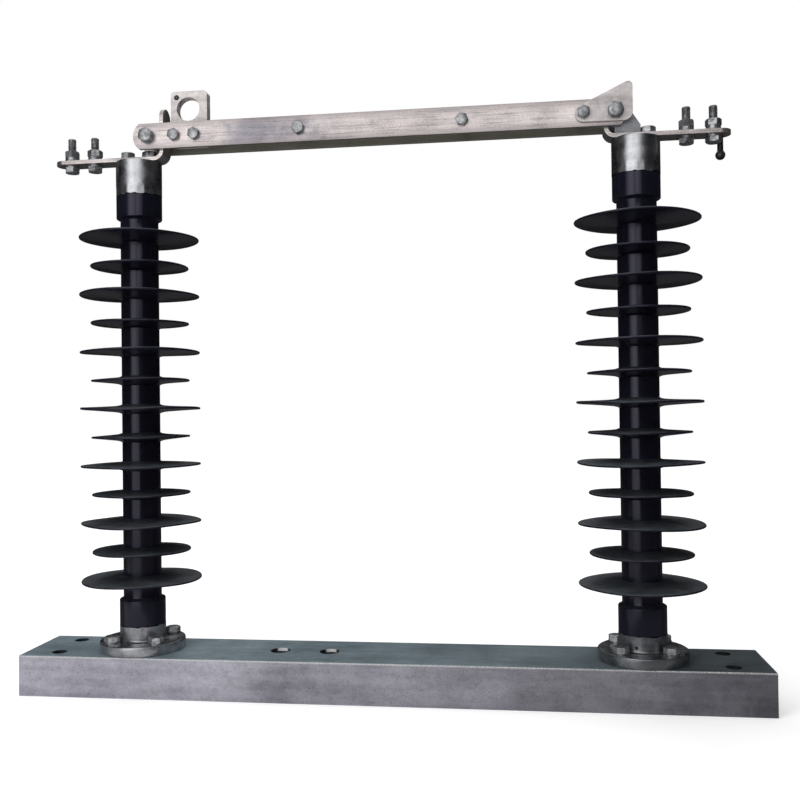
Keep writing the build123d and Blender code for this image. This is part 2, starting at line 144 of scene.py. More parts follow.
def make_object(
    name: str, parts: list[Part], finish: bpy.types.Material, sharp: float = SHARP_DEGREES
) -> bpy.types.Object:
    """Puts closed surfaces into one object, smooth but for edges over the sharp angle.

    Args:
        name: the object's name.
        parts: points and faces of each surface.
        finish: its material.
        sharp: the angle in degrees from which an edge stays sharp.

    Returns:
        The object, at the origin.
    """
    points: list[np.ndarray] = []
    faces: list[list[int]] = []
    count = 0
    for part_points, part_faces in parts:
        points.append(part_points)
        faces.extend([[corner + count for corner in face] for face in part_faces])
        count += len(part_points)
    mesh = bpy.data.meshes.new(name)
    mesh.from_pydata(np.concatenate(points).tolist(), [], faces)
    mesh.validate()
    mesh.shade_smooth()
    mesh.set_sharp_from_angle(angle=math.radians(sharp))
    mesh.materials.append(finish)
    return in_scene(name, mesh)


def rounded_copy(node: str, name: str, edge: float, finish: bpy.types.Material) -> bpy.types.Object:
    """Copies a CAD node of flat plate, joins its loose triangles and rounds its edges.

    Args:
        node: the CAD node.
        name: the new object's name.
        edge: how far the rounding reaches from each edge.
        finish: its material.

    Returns:
        The object, at the origin, with a Bevel on the edges that turn by more than BEVEL_ANGLE.
    """
    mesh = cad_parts[node].data.copy()
    mesh.name = name
    solid = bmesh.new()
    solid.from_mesh(mesh)
    bmesh.ops.remove_doubles(solid, verts=solid.verts, dist=MERGE_DISTANCE)
    bmesh.ops.dissolve_degenerate(solid, edges=solid.edges, dist=MERGE_DISTANCE)
    bmesh.ops.dissolve_limit(solid, angle_limit=FLAT_ANGLE, verts=solid.verts, edges=solid.edges)
    solid.to_mesh(mesh)
    solid.free()
    if "custom_normal" in mesh.attributes:
        mesh.attributes.remove(mesh.attributes["custom_normal"])
    mesh.shade_smooth()
    mesh.materials.clear()
    mesh.materials.append(finish)
    made = in_scene(name, mesh)
    bevel = made.modifiers.new("edge", "BEVEL")
    bevel.width = edge
    bevel.segments = BEVEL_SEGMENTS
    bevel.limit_method = "ANGLE"
    bevel.angle_limit = BEVEL_ANGLE
    bevel.harden_normals = True
    bevel.use_clamp_overlap = True
    return made


def fit(piece: bpy.types.Object, body: str, slot: str, *nodes: str) -> None:
    """Lets a piece ride on its body and stand for its CAD nodes, and reports it.

    Args:
        piece: the piece.
        body: the body that carries it.
        slot: not used.
        *nodes: the CAD nodes that it stands for.
    """
    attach(piece, body)
    if nodes:
        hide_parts(*nodes)
    log.info("%s: %d faces on %s", piece.name, len(piece.data.polygons), body)


def dress(node: str, finish: bpy.types.Material) -> None:
    """Gives a CAD node its finish.

    Args:
        node: the CAD node.
        finish: its material.
    """
    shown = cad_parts[node]
    if not shown.material_slots:
        shown.data.materials.append(finish)
    for slot in shown.material_slots:
        slot.material = finish
    log.info("%s: CAD solid in %s", node, finish.name)


# Bolts and nuts


class Heading(Enum):
    """Which way a shank points. The value is the turn that takes +Z there."""

    UP = ((1, 0, 0), (0, 1, 0), (0, 0, 1))
    DOWN = ((1, 0, 0), (0, -1, 0), (0, 0, -1))
    REAR = ((1, 0, 0), (0, 0, 1), (0, -1, 0))

    def turn(self) -> np.ndarray:
        """The (3, 3) rotation."""
        return np.array(self.value, float)


def islands(node: str) -> list[np.ndarray]:
    """Parts a CAD node into its solids.

    Loose corners at one place are one point. Each point takes the lowest label in any of its triangles,
    again and again until none changes, and the points of one label are one solid.

    Args:
        node: the CAD node.

    Returns:
        The (n, 3) points of each solid.
    """
    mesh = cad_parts[node].data
    points = np.empty(len(mesh.vertices) * 3)
    mesh.vertices.foreach_get("co", points)
    corners = np.empty(len(mesh.loops), np.int64)
    mesh.loops.foreach_get("vertex_index", corners)
    places, index = np.unique(np.round(points.reshape(-1, 3), PLACE_DIGITS), axis=0, return_inverse=True)
    triangles = index.reshape(-1)[corners].reshape(-1, 3)
    label = np.arange(len(places))
    while True:
        spread = label.copy()
        least = label[triangles].min(axis=1)[:, None]
        np.minimum.at(spread, triangles, np.broadcast_to(least, triangles.shape))
        spread = spread[spread]
        if np.array_equal(spread, label):
            break
        label = spread
    return [places[label == one] for one in np.unique(label) if (label == one).sum() > FEWEST_CORNERS]


@dataclass(frozen=True)
class HexSeat:
    """Where a hex bolt or nut of the CAD sits, in its own frame: +Z is its heading."""

    heading: Heading
    x: float
    y: float
    start: float
    collar: float
    end: float
    across_flats: float
    radius: float
    corner: float

    @property
    def pitch(self) -> float:
        """The coarse pitch of a metric thread: a quarter of its radius and 0.25 mm."""
        return self.radius / 4 + 0.25 * MM

    @classmethod
    def read(cls, points: np.ndarray, heading: Heading) -> "HexSeat":
        """Measures one solid's points.

        Args:
            points: its (n, 3) points.
            heading: the way its shank points.

        Returns:
            Its seat. The collar is the end of the hexagon, and the radius that of the thread.
        """
        local = points @ heading.turn()
        low, high = local.min(axis=0), local.max(axis=0)
        centre = (low + high)[:2] / 2
        offset = local[:, :2] - centre
        reach = np.hypot(offset[:, 0], offset[:, 1])
        rim = reach > reach.max() - MEASURE_SLACK
        far = offset[rim][0]
        tip = reach[local[:, 2] > high[2] - MEASURE_SLACK]
        return cls(
            heading,
            float(centre[0]),
            float(centre[1]),
            float(low[2]),
            float(local[rim][:, 2].max()),
            float(high[2]),
            float(reach.max() * 2 * math.cos(math.pi / 6)),
            float(tip.min()),
            math.atan2(far[1], far[0]),
        )

    def place(self, rings: np.ndarray) -> np.ndarray:
        """Takes rings from the seat's own frame to the object's."""
        return (rings + np.array([self.x, self.y, 0.0])) @ self.heading.turn().T


@dataclass(frozen=True)
class HexPiece:
    """A forged hex bolt or nut with 30 degree chamfers, and a rolled thread where it shows.

    The thread's depths are shares of its pitch, on the flank and where it runs out at the tip.
    """

    seat: HexSeat
    thread_shown: float = 6 * MM
    chamfer_circle: float = 0.95
    chamfer_steps: int = 5
    thread_depth: float = 0.6
    tip_depth: float = 0.8
    shank_gap: float = 0.02 * MM
    shank_in_head: float = 0.5 * MM
    countersink: float = 0.4 * MM

    def hexagon(self, both: bool) -> tuple[np.ndarray, np.ndarray]:
        """The hexagon's skin: the radius is the least of side and cone.

        The side is apothem / cos(angle from the side's middle). The cone starts at the chamfer circle on
        the end face and widens by depth / tan(30 degrees).

        Args:
            both: True for a nut, chamfered at both ends.

        Returns:
            (n, m) radii and (n,) heights.
        """
        seat = self.seat
        apothem = seat.across_flats / 2
        angle = np.arange(HEX_STEPS) * (2 * np.pi / HEX_STEPS)
        side = apothem / np.cos(angle % (np.pi / 3) - np.pi / 6)
        circle = self.chamfer_circle * apothem
        steps = np.linspace(0, (side.max() - circle) * math.tan(CHAMFER_ANGLE), self.chamfer_steps)
        cone = circle + steps / math.tan(CHAMFER_ANGLE)
        height = np.concatenate([seat.start + steps, seat.collar - steps[::-1] if both else [seat.collar]])
        limit = np.concatenate([cone, cone[::-1] if both else [side.max()]])
        return np.minimum(side[None, :], limit[:, None]), height

    def bolt(self) -> list[Part]:
        """Head and shank: the thread is r = R - depth |2 t - 1|, t the part of a pitch at that angle.

        Returns:
            The head and the shank.
        """
        seat = self.seat
        radius, height = self.hexagon(both=False)
        head = seat.place(turned(radius, height, HEX_STEPS, seat.corner))
        first = max(seat.collar, seat.end - self.thread_shown)
        rings = max(int((seat.end - first) / seat.pitch * RINGS_PER_PITCH), RINGS_PER_PITCH)
        climb = np.linspace(first, seat.end, rings)
        angle = np.arange(THREAD_STEPS) / THREAD_STEPS
        part = (climb[:, None] / seat.pitch - angle[None, :]) % 1.0
        flank = seat.radius - self.thread_depth * seat.pitch * np.abs(2 * part - 1)
        tip = seat.radius - self.tip_depth * seat.pitch + (seat.end - climb)[:, None]
        plain = np.full((1, THREAD_STEPS), seat.radius - self.shank_gap)
        widths = np.concatenate([plain, np.minimum(flank, tip)])
        heights = np.concatenate([[seat.collar - self.shank_in_head], climb])
        return [loft(head), loft(seat.place(turned(widths, heights, THREAD_STEPS)))]

    def nut(self) -> list[Part]:
        """A nut: the hexagon outside, and a bore with a small countersink inside.

        Returns:
            The one surface of the nut.
        """
        seat = self.seat
        radius, height = self.hexagon(both=True)
        sink = self.countersink
        bore = np.array([seat.radius + sink, seat.radius, seat.radius, seat.radius + sink])
        inner = np.broadcast_to(bore[:, None], (4, HEX_STEPS))
        radius = np.concatenate([radius, inner])
        height = np.concatenate([height, [seat.collar, seat.collar - sink, seat.start + sink, seat.start]])
        return [loft(seat.place(turned(radius, height, HEX_STEPS, seat.corner)), loop=True)]


def along_x(points: np.ndarray) -> tuple[float, float]:
    """Orders solids by their mean x, to the millimetre, and then by their mean y."""
    return round(float(points[:, 0].mean()), 3), float(points[:, 1].mean())


def hex_set(
    node: str,
    heading: Heading,
    body: str,
    finish: bpy.types.Material,
    thread: float = 6 * MM,
    corners: dict[int, float] | None = None,
) -> None:
    """Replaces a CAD node of bolts or nuts by forged ones with chamfers and threads.

    Args:
        node: the CAD node, whose name ends in bolt, bolts, nut or nuts.
        heading: the way the shanks point.
        body: the body that carries them.
        finish: their material.
        thread: how much thread shows at the end of a bolt.
        corners: how the wrench left some of them: the angle of a corner in degrees, by place along X.
    """
    parts: list[Part] = []
    for index, points in enumerate(sorted(islands(node), key=along_x)):
        seat = HexSeat.read(points, heading)
        if corners and index in corners:
            seat = replace(seat, corner=math.radians(corners[index]))
        piece = HexPiece(seat, thread)
        parts += piece.nut() if "nut" in node else piece.bolt()
    fit(make_object(node + "_forged", parts, finish), body, "zinc_plate", node)


# Finishes

SHARE, UNDER, OVER = 0, 6, 7


class Kind(Enum):
    """What a node does: its type, and the settings that make it do so.

    The inputs of PAINT and TINT are SHARE, UNDER and OVER, and those of BLEND are 0, 2 and 3.
    """

    SHADER = ("ShaderNodeBsdfPrincipled", {})
    MATT = ("ShaderNodeBsdfDiffuse", {})
    GLOW = ("ShaderNodeEmission", {})
    SKY = ("ShaderNodeBackground", {})
    BOTH_SHADERS = ("ShaderNodeAddShader", {})
    SURFACE = ("ShaderNodeOutputMaterial", {})
    SURROUNDINGS = ("ShaderNodeOutputWorld", {})
    COORDINATES = ("ShaderNodeTexCoord", {})
    GEOMETRY = ("ShaderNodeNewGeometry", {})
    RAY = ("ShaderNodeLightPath", {})
    NOISE = ("ShaderNodeTexNoise", {})
    CRYSTALS = ("ShaderNodeTexVoronoi", {})
    STRETCH = ("ShaderNodeMapping", {})
    BUMP = ("ShaderNodeBump", {})
    APART = ("ShaderNodeSeparateXYZ", {})
    TOGETHER = ("ShaderNodeCombineXYZ", {})
    COLOUR_APART = ("ShaderNodeSeparateColor", {})
    RAMP = ("ShaderNodeMapRange", {})
    EASED_RAMP = ("ShaderNodeMapRange", {"interpolation_type": "SMOOTHSTEP"})
    BLEND = ("ShaderNodeMix", {"data_type": "FLOAT"})
    PAINT = ("ShaderNodeMix", {"data_type": "RGBA"})
    TINT = ("ShaderNodeMix", {"data_type": "RGBA", "blend_type": "MULTIPLY"})
    LENGTH = ("ShaderNodeVectorMath", {"operation": "LENGTH"})
    ADD = ("ShaderNodeMath", {"operation": "ADD"})
    SUBTRACT = ("ShaderNodeMath", {"operation": "SUBTRACT"})
    MULTIPLY = ("ShaderNodeMath", {"operation": "MULTIPLY"})
    MAXIMUM = ("ShaderNodeMath", {"operation": "MAXIMUM"})
    ABSOLUTE = ("ShaderNodeMath", {"operation": "ABSOLUTE"})
    LESS_THAN = ("ShaderNodeMath", {"operation": "LESS_THAN"})
    GREATER_THAN = ("ShaderNodeMath", {"operation": "GREATER_THAN"})
    WRAP = ("ShaderNodeMath", {"operation": "WRAP"})


def linear(colour: str) -> tuple[float, float, float, float]:
    """Turns an sRGB hex colour into linear red, green, blue and alpha.

    Args:
        colour: the colour, as a hash and six hex digits.

    Returns:
        Red, green, blue and alpha.
    """
    part = np.array([int(colour[i : i + 2], 16) for i in (1, 3, 5)]) / 255
    red, green, blue = np.where(part <= 0.04045, part / 12.92, ((part + 0.055) / 1.055) ** 2.4)
    return float(red), float(green), float(blue), 1.0


def per_metre(size_mm: float) -> float:
    """The scale at which a texture repeats once in size_mm millimetres."""
    return 1000.0 / size_mm


def clear_tree(owner: bpy.types.Material | bpy.types.World) -> bpy.types.NodeTree:
    """Turns on the nodes of a material or of the world, and empties its tree.

    Args:
        owner: the material or the world.

    Returns:
        Its empty tree.
    """
    owner.use_nodes = True
    owner.node_tree.nodes.clear()
    return owner.node_tree


def feed(tree: bpy.types.NodeTree, node: bpy.types.Node, inputs: Inputs) -> None:
    """Fills inputs of a node.

    Args:
        tree: the node tree.
        node: the node.
        inputs: for each input, by name or number, a value, an output, or a node for its output in use.
    """
    for key, given in inputs.items():
        if isinstance(given, bpy.types.Node):
            given = next(output for output in given.outputs if output.enabled)
        if isinstance(given, bpy.types.NodeSocket):
            tree.links.new(given, node.inputs[key])
        else:
            node.inputs[key].default_value = given


def add_node(tree: bpy.types.NodeTree, kind: Kind, inputs: Inputs | None = None) -> bpy.types.Node:
    """Adds one node.

    Args:
        tree: the node tree.
        kind: what the node does.
        inputs: what its inputs get, as in feed.

    Returns:
        The node.
    """
    made, settings = kind.value
    node = tree.nodes.new(made)
    for name, value in settings.items():
        setattr(node, name, value)
    feed(tree, node, inputs or {})
    return node


@dataclass
class Sheet:
    """A material being made: its tree, its shader and where a point is on the object."""

    name: str
    material: bpy.types.Material = field(init=False)
    tree: bpy.types.NodeTree = field(init=False)
    shader: bpy.types.Node = field(init=False)
    where: bpy.types.NodeSocket = field(init=False)

    def __post_init__(self) -> None:
        """Makes the tree with a shader, an output and the object's own coordinates."""
        self.material = bpy.data.materials.new(self.name)
        self.tree = clear_tree(self.material)
        self.shader = self.add(Kind.SHADER)
        self.add(Kind.SURFACE, {"Surface": self.shader})
        self.where = self.add(Kind.COORDINATES).outputs["Object"]

    def add(self, kind: Kind, inputs: Inputs | None = None) -> bpy.types.Node:
        """Adds a node to this material's tree."""
        return add_node(self.tree, kind, inputs)

    def place(self) -> bpy.types.NodeOutputs:
        """The point's x, y and z on the object."""
        return self.add(Kind.APART, {0: self.where}).outputs

    def facing(self, normal: str = "Normal") -> bpy.types.NodeOutputs:
        """The x, y and z of the way the surface looks, or with True Normal of the way its face does."""
        return self.add(Kind.APART, {0: self.add(Kind.GEOMETRY).outputs[normal]}).outputs

    def height_from(self, level: float) -> bpy.types.Node:
        """How far above or below a level the point is: |z - level|."""
        return self.add(Kind.ABSOLUTE, {0: self.add(Kind.SUBTRACT, {0: self.place()[2], 1: level})})

    def finish(self, inputs: Inputs) -> bpy.types.Material:
        """Fills the shader's inputs and gives the material."""
        feed(self.tree, self.shader, inputs)
        return self.material


@dataclass(frozen=True)
class Galvanised:
    """Zinc on steel, dipped hot: crystals that froze side by side, and a dull grey coat from the weather.

    It gives the eye cells of slightly different greys, clouds of dull patina, fine specks and a soft sheen.
    The specks are drawn coarser than real ones, so that they show.
    """

    name: str
    dark: str = "#565d60"
    light: str = "#989c9e"
    speck_grey: str = "#34373a"
    crystal_mm: float = 7.0
    cloud_mm: float = 70.0
    streak_mm: float = 9.0
    streak_ratio: float = 0.12
    speck_mm: float = 1.6
    crystal_share: float = 0.3
    cloud_share: float = 0.45
    streak_share: float = 0.3
    speck_share: float = 0.35
    metallic: float = 0.6
    roughness: float = 0.46
    bump_mm: float = 0.05

    def make(self) -> bpy.types.Material:
        """Makes the material.

        Returns:
            The material.
        """
        sheet = Sheet(self.name)
        crystals = sheet.add(Kind.CRYSTALS, {"Scale": per_metre(self.crystal_mm), "Vector": sheet.where})
        crystal = sheet.add(Kind.COLOUR_APART, {"Color": crystals.outputs["Color"]})
        clouds = sheet.add(
            Kind.NOISE,
            {"Scale": per_metre(self.cloud_mm), "Detail": 5.0, "Roughness": 0.62, "Vector": sheet.where},
        )
        stretch = sheet.add(Kind.STRETCH, {"Scale": (self.streak_ratio, 1.0, 1.0), "Vector": sheet.where})
        streaks = sheet.add(
            Kind.NOISE, {"Scale": per_metre(self.streak_mm), "Detail": 3.0, "Vector": stretch}
        )
        grit = sheet.add(
            Kind.NOISE,
            {"Scale": per_metre(self.speck_mm), "Detail": 4.0, "Roughness": 0.7, "Vector": sheet.where},
        )
        crystal_part = sheet.add(Kind.MULTIPLY, {0: crystal, 1: self.crystal_share})
        cloud_part, streak_part = (
            sheet.add(Kind.RAMP, {"Value": pattern, "From Min": 0.35, "From Max": 0.65, "To Max": share})
            for pattern, share in ((clouds, self.cloud_share), (streaks, self.streak_share))
        )
        two = sheet.add(Kind.ADD, {0: crystal_part, 1: cloud_part})
        tone = sheet.add(Kind.ADD, {0: two, 1: streak_part})
        zinc = sheet.add(Kind.PAINT, {SHARE: tone, UNDER: linear(self.dark), OVER: linear(self.light)})
        # the zinc with whatever light and shade the channel paints on it
        zinc_and_painted_light = self.coat(sheet, tone, zinc)
        specks = sheet.add(
            Kind.RAMP, {"Value": grit, "From Min": 0.56, "From Max": 0.68, "To Max": self.speck_share}
        )
        specked = sheet.add(Kind.PAINT, {SHARE: specks, UNDER: zinc_and_painted_light, OVER: linear(self.speck_grey)})
        colour = self.wear_and_painted_light(sheet, specked, grit)
        rough = sheet.add(
            Kind.RAMP,
            {
                "Value": clouds,
                "From Min": 0.3,
                "From Max": 0.7,
                "To Min": self.roughness - 0.1,
                "To Max": self.roughness + 0.12,
            },
        )
        bump = sheet.add(Kind.BUMP, {"Strength": 0.5, "Distance": self.bump_mm * MM, "Height": grit})
        return sheet.finish(
            {"Metallic": self.metallic, "Base Color": colour, "Roughness": rough, "Normal": bump}
        )

    def coat(self, sheet: Sheet, tone: bpy.types.Node, zinc: bpy.types.Node) -> bpy.types.Node:
        """The zinc with light and shade painted on it: none here."""
        return zinc

    def wear_and_painted_light(self, sheet: Sheet, specked: bpy.types.Node, grit: bpy.types.Node) -> bpy.types.Node:
        """The specked zinc with wear and painted light: here it is as it was."""
        return specked


@dataclass(frozen=True)
class GalvanisedChannel(Galvanised):
    """Galvanised steel of the channel, worn by handling, with light and shade painted on.

    It gives the eye a painted blue-green reflection on the faces that look up, painted shade that darkens it
    towards the right end, long top edges of zinc rubbed bare with a painted highlight on them, and hole walls
    in painted shade, of which the two middle ones are bare metal high on their walls, with a painted white
    reflection.
    """

    dark: str = "#8a8893"
    light: str = "#d6d4e0"
    crystal_mm: float = 6.0
    cloud_mm: float = 90.0
    crystal_share: float = 0.16
    streak_share: float = 0.22
    speck_share: float = 0.65
    metallic: float = 0.35
    # the painted blue-green reflection on the faces that look up
    top_reflection_dark: str = "#64757d"
    top_reflection_light: str = "#a4b6bf"
    # dull: the colour of the painted shade that darkens the channel towards its right end
    dull: str = "#1f1f20"
    shade_from_mm: float = -250.0
    shade_to_mm: float = 420.0
    shade_share: float = 0.66
    end_shade_from_mm: float = 120.0
    end_shade_to_mm: float = 340.0
    end_shade_share: float = 0.76
    # worn_and_lit: rubbed zinc with a painted highlight along the long top edges
    worn_and_lit: str = "#d2d3d3"
    edge_from_mm: float = 47.8
    edge_to_mm: float = 49.2
    top_from_mm: float = 45.8
    top_to_mm: float = 47.2
    # hole_shade: painted shade on the hole walls; hole_bare_lit: bare metal with a painted white reflection
    hole_shade: str = "#2b2c2f"
    hole_bare_lit: str = "#ffffff"
    holes_within_mm: float = 44.5
    web_above_mm: float = 42.9
    upright_below: float = 0.3
    middle_hole_mm: float = -66.5
    hole_step_mm: float = 60.0
    lit_to_mm: float = 7.2
    lit_from_mm: float = 5.2
    lit_low_mm: float = 43.9
    lit_high_mm: float = 44.7

    def coat(self, sheet: Sheet, tone: bpy.types.Node, zinc: bpy.types.Node) -> bpy.types.Node:
        """Paints a blue-green reflection on upward faces, and shade that dulls the whole to the right end.

        Args:
            sheet: the material being made.
            tone: the zinc's tone, from 0 to 1.
            zinc: the zinc before it is coated.

        Returns:
            The node that gives the colour.
        """
        # painted reflection: the faces that look up take a blue-green tone
        level = sheet.add(Kind.RAMP, {"Value": sheet.facing()[2], "From Min": 0.5, "From Max": 0.9})
        overlay = sheet.add(
            Kind.PAINT, {SHARE: tone, UNDER: linear(self.top_reflection_dark), OVER: linear(self.top_reflection_light)}
        )
        laid = sheet.add(Kind.PAINT, {SHARE: level, UNDER: zinc, OVER: overlay})
        # painted shade: the whole darkens towards the right end, the faces that look up most there
        along = sheet.place()[0]
        fade, end = (
            sheet.add(
                Kind.RAMP, {"Value": along, "From Min": low * MM, "From Max": high * MM, "To Max": share}
            )
            for low, high, share in (
                (self.shade_from_mm, self.shade_to_mm, self.shade_share),
                (self.end_shade_from_mm, self.end_shade_to_mm, self.end_shade_share),
            )
        )
        top_end_shade = sheet.add(Kind.MULTIPLY, {0: end, 1: level})
        dulled = sheet.add(Kind.MAXIMUM, {0: fade, 1: top_end_shade})
        return sheet.add(Kind.PAINT, {SHARE: dulled, UNDER: laid, OVER: linear(self.dull)})

    def wear_and_painted_light(self, sheet: Sheet, specked: bpy.types.Node, grit: bpy.types.Node) -> bpy.types.Node:
        """Brightens the long edges with rubbed zinc and a painted highlight, and paints shade and a
        reflection in the holes.
        """
        return self.holes(sheet, self.edges(sheet, specked, grit))

    def edges(self, sheet: Sheet, specked: bpy.types.Node, grit: bpy.types.Node) -> bpy.types.Node:
        """Brightens the channel's long top edges: zinc rubbed bare by handling, with a painted highlight on
        it.

        Args:
            sheet: the material being made.
            specked: the specked zinc.
            grit: the noise that gives the specks.

        Returns:
            The node that gives the colour.
        """
        place = sheet.place()
        side = sheet.add(Kind.ABSOLUTE, {0: place[1]})
        outer = sheet.add(
            Kind.RAMP, {"Value": side, "From Min": self.edge_from_mm * MM, "From Max": self.edge_to_mm * MM}
        )
        upper = sheet.add(
            Kind.RAMP, {"Value": place[2], "From Min": self.top_from_mm * MM, "From Max": self.top_to_mm * MM}
        )
        # painted highlight over rubbed zinc along the long top edges
        edge = sheet.add(Kind.MULTIPLY, {0: outer, 1: upper})
        rubbed = sheet.add(Kind.RAMP, {"Value": grit, "From Min": 0.35, "From Max": 0.6})
        part = sheet.add(Kind.MULTIPLY, {0: edge, 1: rubbed})
        return sheet.add(Kind.PAINT, {SHARE: part, UNDER: specked, OVER: linear(self.worn_and_lit)})

    def holes(self, sheet: Sheet, shade: bpy.types.Node) -> bpy.types.Node:
        """Paints shade on the walls of the web's holes, but for the upper part of the two middle ones: bare
        metal, painted white as a reflection.

        The walls are the upright faces inside the web. The middle holes stand one step apart, so x wrapped
        at that step gives the place across both.

        Args:
            sheet: the material being made.
            shade: the channel's colour outside the holes.

        Returns:
            The node that gives the colour.
        """
        place = sheet.place()
        side = sheet.add(Kind.ABSOLUTE, {0: place[1]})
        inside = sheet.add(Kind.LESS_THAN, {0: side, 1: self.holes_within_mm * MM})
        web = sheet.add(Kind.GREATER_THAN, {0: place[2], 1: self.web_above_mm * MM})
        tilt = sheet.add(Kind.ABSOLUTE, {0: sheet.facing("True Normal")[2]})
        upright = sheet.add(Kind.LESS_THAN, {0: tilt, 1: self.upright_below})
        in_web = sheet.add(Kind.MULTIPLY, {0: inside, 1: web})
        wall = sheet.add(Kind.MULTIPLY, {0: in_web, 1: upright})
        half = self.hole_step_mm / 2
        low, high = (self.middle_hole_mm - half) * MM, (self.middle_hole_mm + half) * MM
        across = sheet.add(Kind.WRAP, {0: place[0], 1: high, 2: low})
        offset = sheet.add(Kind.ADD, {0: across, 1: -self.middle_hole_mm * MM})
        away = sheet.add(Kind.ABSOLUTE, {0: offset})
        near = sheet.add(
            Kind.RAMP,
            {"Value": away, "From Min": self.lit_to_mm * MM, "From Max": self.lit_from_mm * MM},
        )
        upper = sheet.add(
            Kind.RAMP,
            {"Value": place[2], "From Min": self.lit_low_mm * MM, "From Max": self.lit_high_mm * MM},
        )
        rubbed = sheet.add(Kind.MULTIPLY, {0: near, 1: upper})
        # painted white reflection high on the middle holes' walls, painted shade on the rest of the walls
        shown = sheet.add(
            Kind.PAINT, {SHARE: rubbed, UNDER: linear(self.hole_shade), OVER: linear(self.hole_bare_lit)}
        )
        return sheet.add(Kind.PAINT, {SHARE: wall, UNDER: shade, OVER: shown})


@dataclass(frozen=True)
class GalvanisedForging(Galvanised):
    """A galvanised forging with silicone rubber moulded on.

    It gives the eye a brighter metal than the channel's, with small crystals, and a ragged dark line where
    the rubber crept over it.
    """

    crystal_mm: float = 2.5
    cloud_mm: float = 18.0
    speck_mm: float = 1.4
    crystal_share: float = 0.1
    speck_share: float = 0.6
    metallic: float = 0.93
    roughness: float = 0.3
    joint_mm: float = 79.0
    rubber: str = "#101018"
    creep_mm: float = 2.2
    creep_grain_mm: float = 9.0
    cover_share: float = 0.95

    def wear_and_painted_light(self, sheet: Sheet, specked: bpy.types.Node, grit: bpy.types.Node) -> bpy.types.Node:
        """Draws the rubber that crept unevenly over the metal at the joint, up to creep_mm from it.

        Args:
            sheet: the material being made.
            specked: the specked zinc.
            grit: the noise that gives the specks.

        Returns:
            The node that gives the colour.
        """
        away = sheet.height_from(self.joint_mm * MM)
        ragged = sheet.add(
            Kind.NOISE, {"Scale": per_metre(self.creep_grain_mm), "Detail": 4.0, "Vector": sheet.where}
        )
        reach = sheet.add(
            Kind.RAMP, {"Value": ragged, "From Min": 0.4, "From Max": 0.7, "To Max": -self.creep_mm * MM}
        )
        left = sheet.add(Kind.ADD, {0: away, 1: reach})
        covered = sheet.add(
            Kind.RAMP,
            {"Value": left, "From Min": 0.5 * MM, "From Max": 0.1 * MM, "To Max": self.cover_share},
        )
        return sheet.add(Kind.PAINT, {SHARE: covered, UNDER: specked, OVER: linear(self.rubber)})


@dataclass(frozen=True)
class Silicone:
    """Moulded silicone rubber: nearly black, with a soft sheen where it is clean.

    Dust lies on what faces up, so the tops of the sheds are matt and grey-green and the core keeps its sheen.
    The grain is drawn coarser than the real one, so that it shows.
    """

    name: str
    clean: str = "#13131e"
    dust: str = "#4a4f51"
    patch_mm: float = 16.0
    grain_mm: float = 1.2
    grain_depth_mm: float = 0.04
    thin_dust: float = 0.35
    film_share: float = 0.04
    post_x: float = 0.3
    # root_cover and rim_cover: dust share at the root and at the rim; less at the root paints shade there
    root_mm: float = 26.0
    root_cover: float = 0.4
    rim_mm: float = 64.0
    rim_cover: float = 1.15
    roughness: float = 0.18
    dusty_roughness: float = 0.7
    refraction: float = 1.5
    # lamp_tint: the lamps' lilac, painted into the rubber's reflections
    lamp_tint: str = "#dcd9f2"

    def make(self) -> bpy.types.Material:
        """Makes the material.

        Returns:
            The material.
        """
        sheet = Sheet(self.name)
        top = sheet.add(Kind.RAMP, {"Value": sheet.facing()[2], "From Min": 0.3, "From Max": 0.9})
        patches = sheet.add(
            Kind.NOISE,
            {"Scale": per_metre(self.patch_mm), "Detail": 5.0, "Roughness": 0.6, "Vector": sheet.where},
        )
        grain = sheet.add(
            Kind.NOISE, {"Scale": per_metre(self.grain_mm), "Detail": 3.0, "Vector": sheet.where}
        )
        lying = sheet.add(
            Kind.RAMP, {"Value": patches, "From Min": 0.3, "From Max": 0.68, "To Min": self.thin_dust}
        )
        upward = sheet.add(Kind.MULTIPLY, {0: top, 1: lying})
        # dust on faces that look up, thinned towards the roots as painted shade
        dusty = sheet.add(Kind.MULTIPLY, {0: upward, 1: self.outwards(sheet)})
        overlay = sheet.add(
            Kind.RAMP, {"Value": patches, "From Min": 0.5, "From Max": 0.8, "To Max": self.film_share}
        )
        cover = sheet.add(Kind.MAXIMUM, {0: dusty, 1: overlay})
        colour = sheet.add(Kind.PAINT, {SHARE: cover, UNDER: linear(self.clean), OVER: linear(self.dust)})
        rough = sheet.add(
            Kind.RAMP, {"Value": cover, "To Min": self.roughness, "To Max": self.dusty_roughness}
        )
        bump = sheet.add(
            Kind.BUMP, {"Strength": 0.3, "Distance": self.grain_depth_mm * MM, "Height": grain}
        )
        return sheet.finish(
            {
                "IOR": self.refraction,
                # the reflections take the lamps' lilac: painted light colour
                "Specular Tint": linear(self.lamp_tint),
                "Base Color": colour,
                "Roughness": rough,
                "Normal": bump,
            }
        )

    def outwards(self, sheet: Sheet) -> bpy.types.Node:
        """How much dust shows at a point: less towards the sheds' roots, which paints shade there, more at
        the rims.

        The distance from the post's axis is the length of (|x| - post_x, y).

        Args:
            sheet: the material being made.

        Returns:
            The node that gives the dust's share.
        """
        place = sheet.place()
        side = sheet.add(Kind.ABSOLUTE, {0: place[0]})
        offset = sheet.add(Kind.SUBTRACT, {0: side, 1: self.post_x})
        away = sheet.add(Kind.LENGTH, {0: sheet.add(Kind.TOGETHER, {0: offset, 1: place[1]})})
        return sheet.add(
            Kind.RAMP,
            {
                "Value": away,
                "From Min": self.root_mm * MM,
                "From Max": self.rim_mm * MM,
                "To Min": self.root_cover,
                "To Max": self.rim_cover,
            },
        )


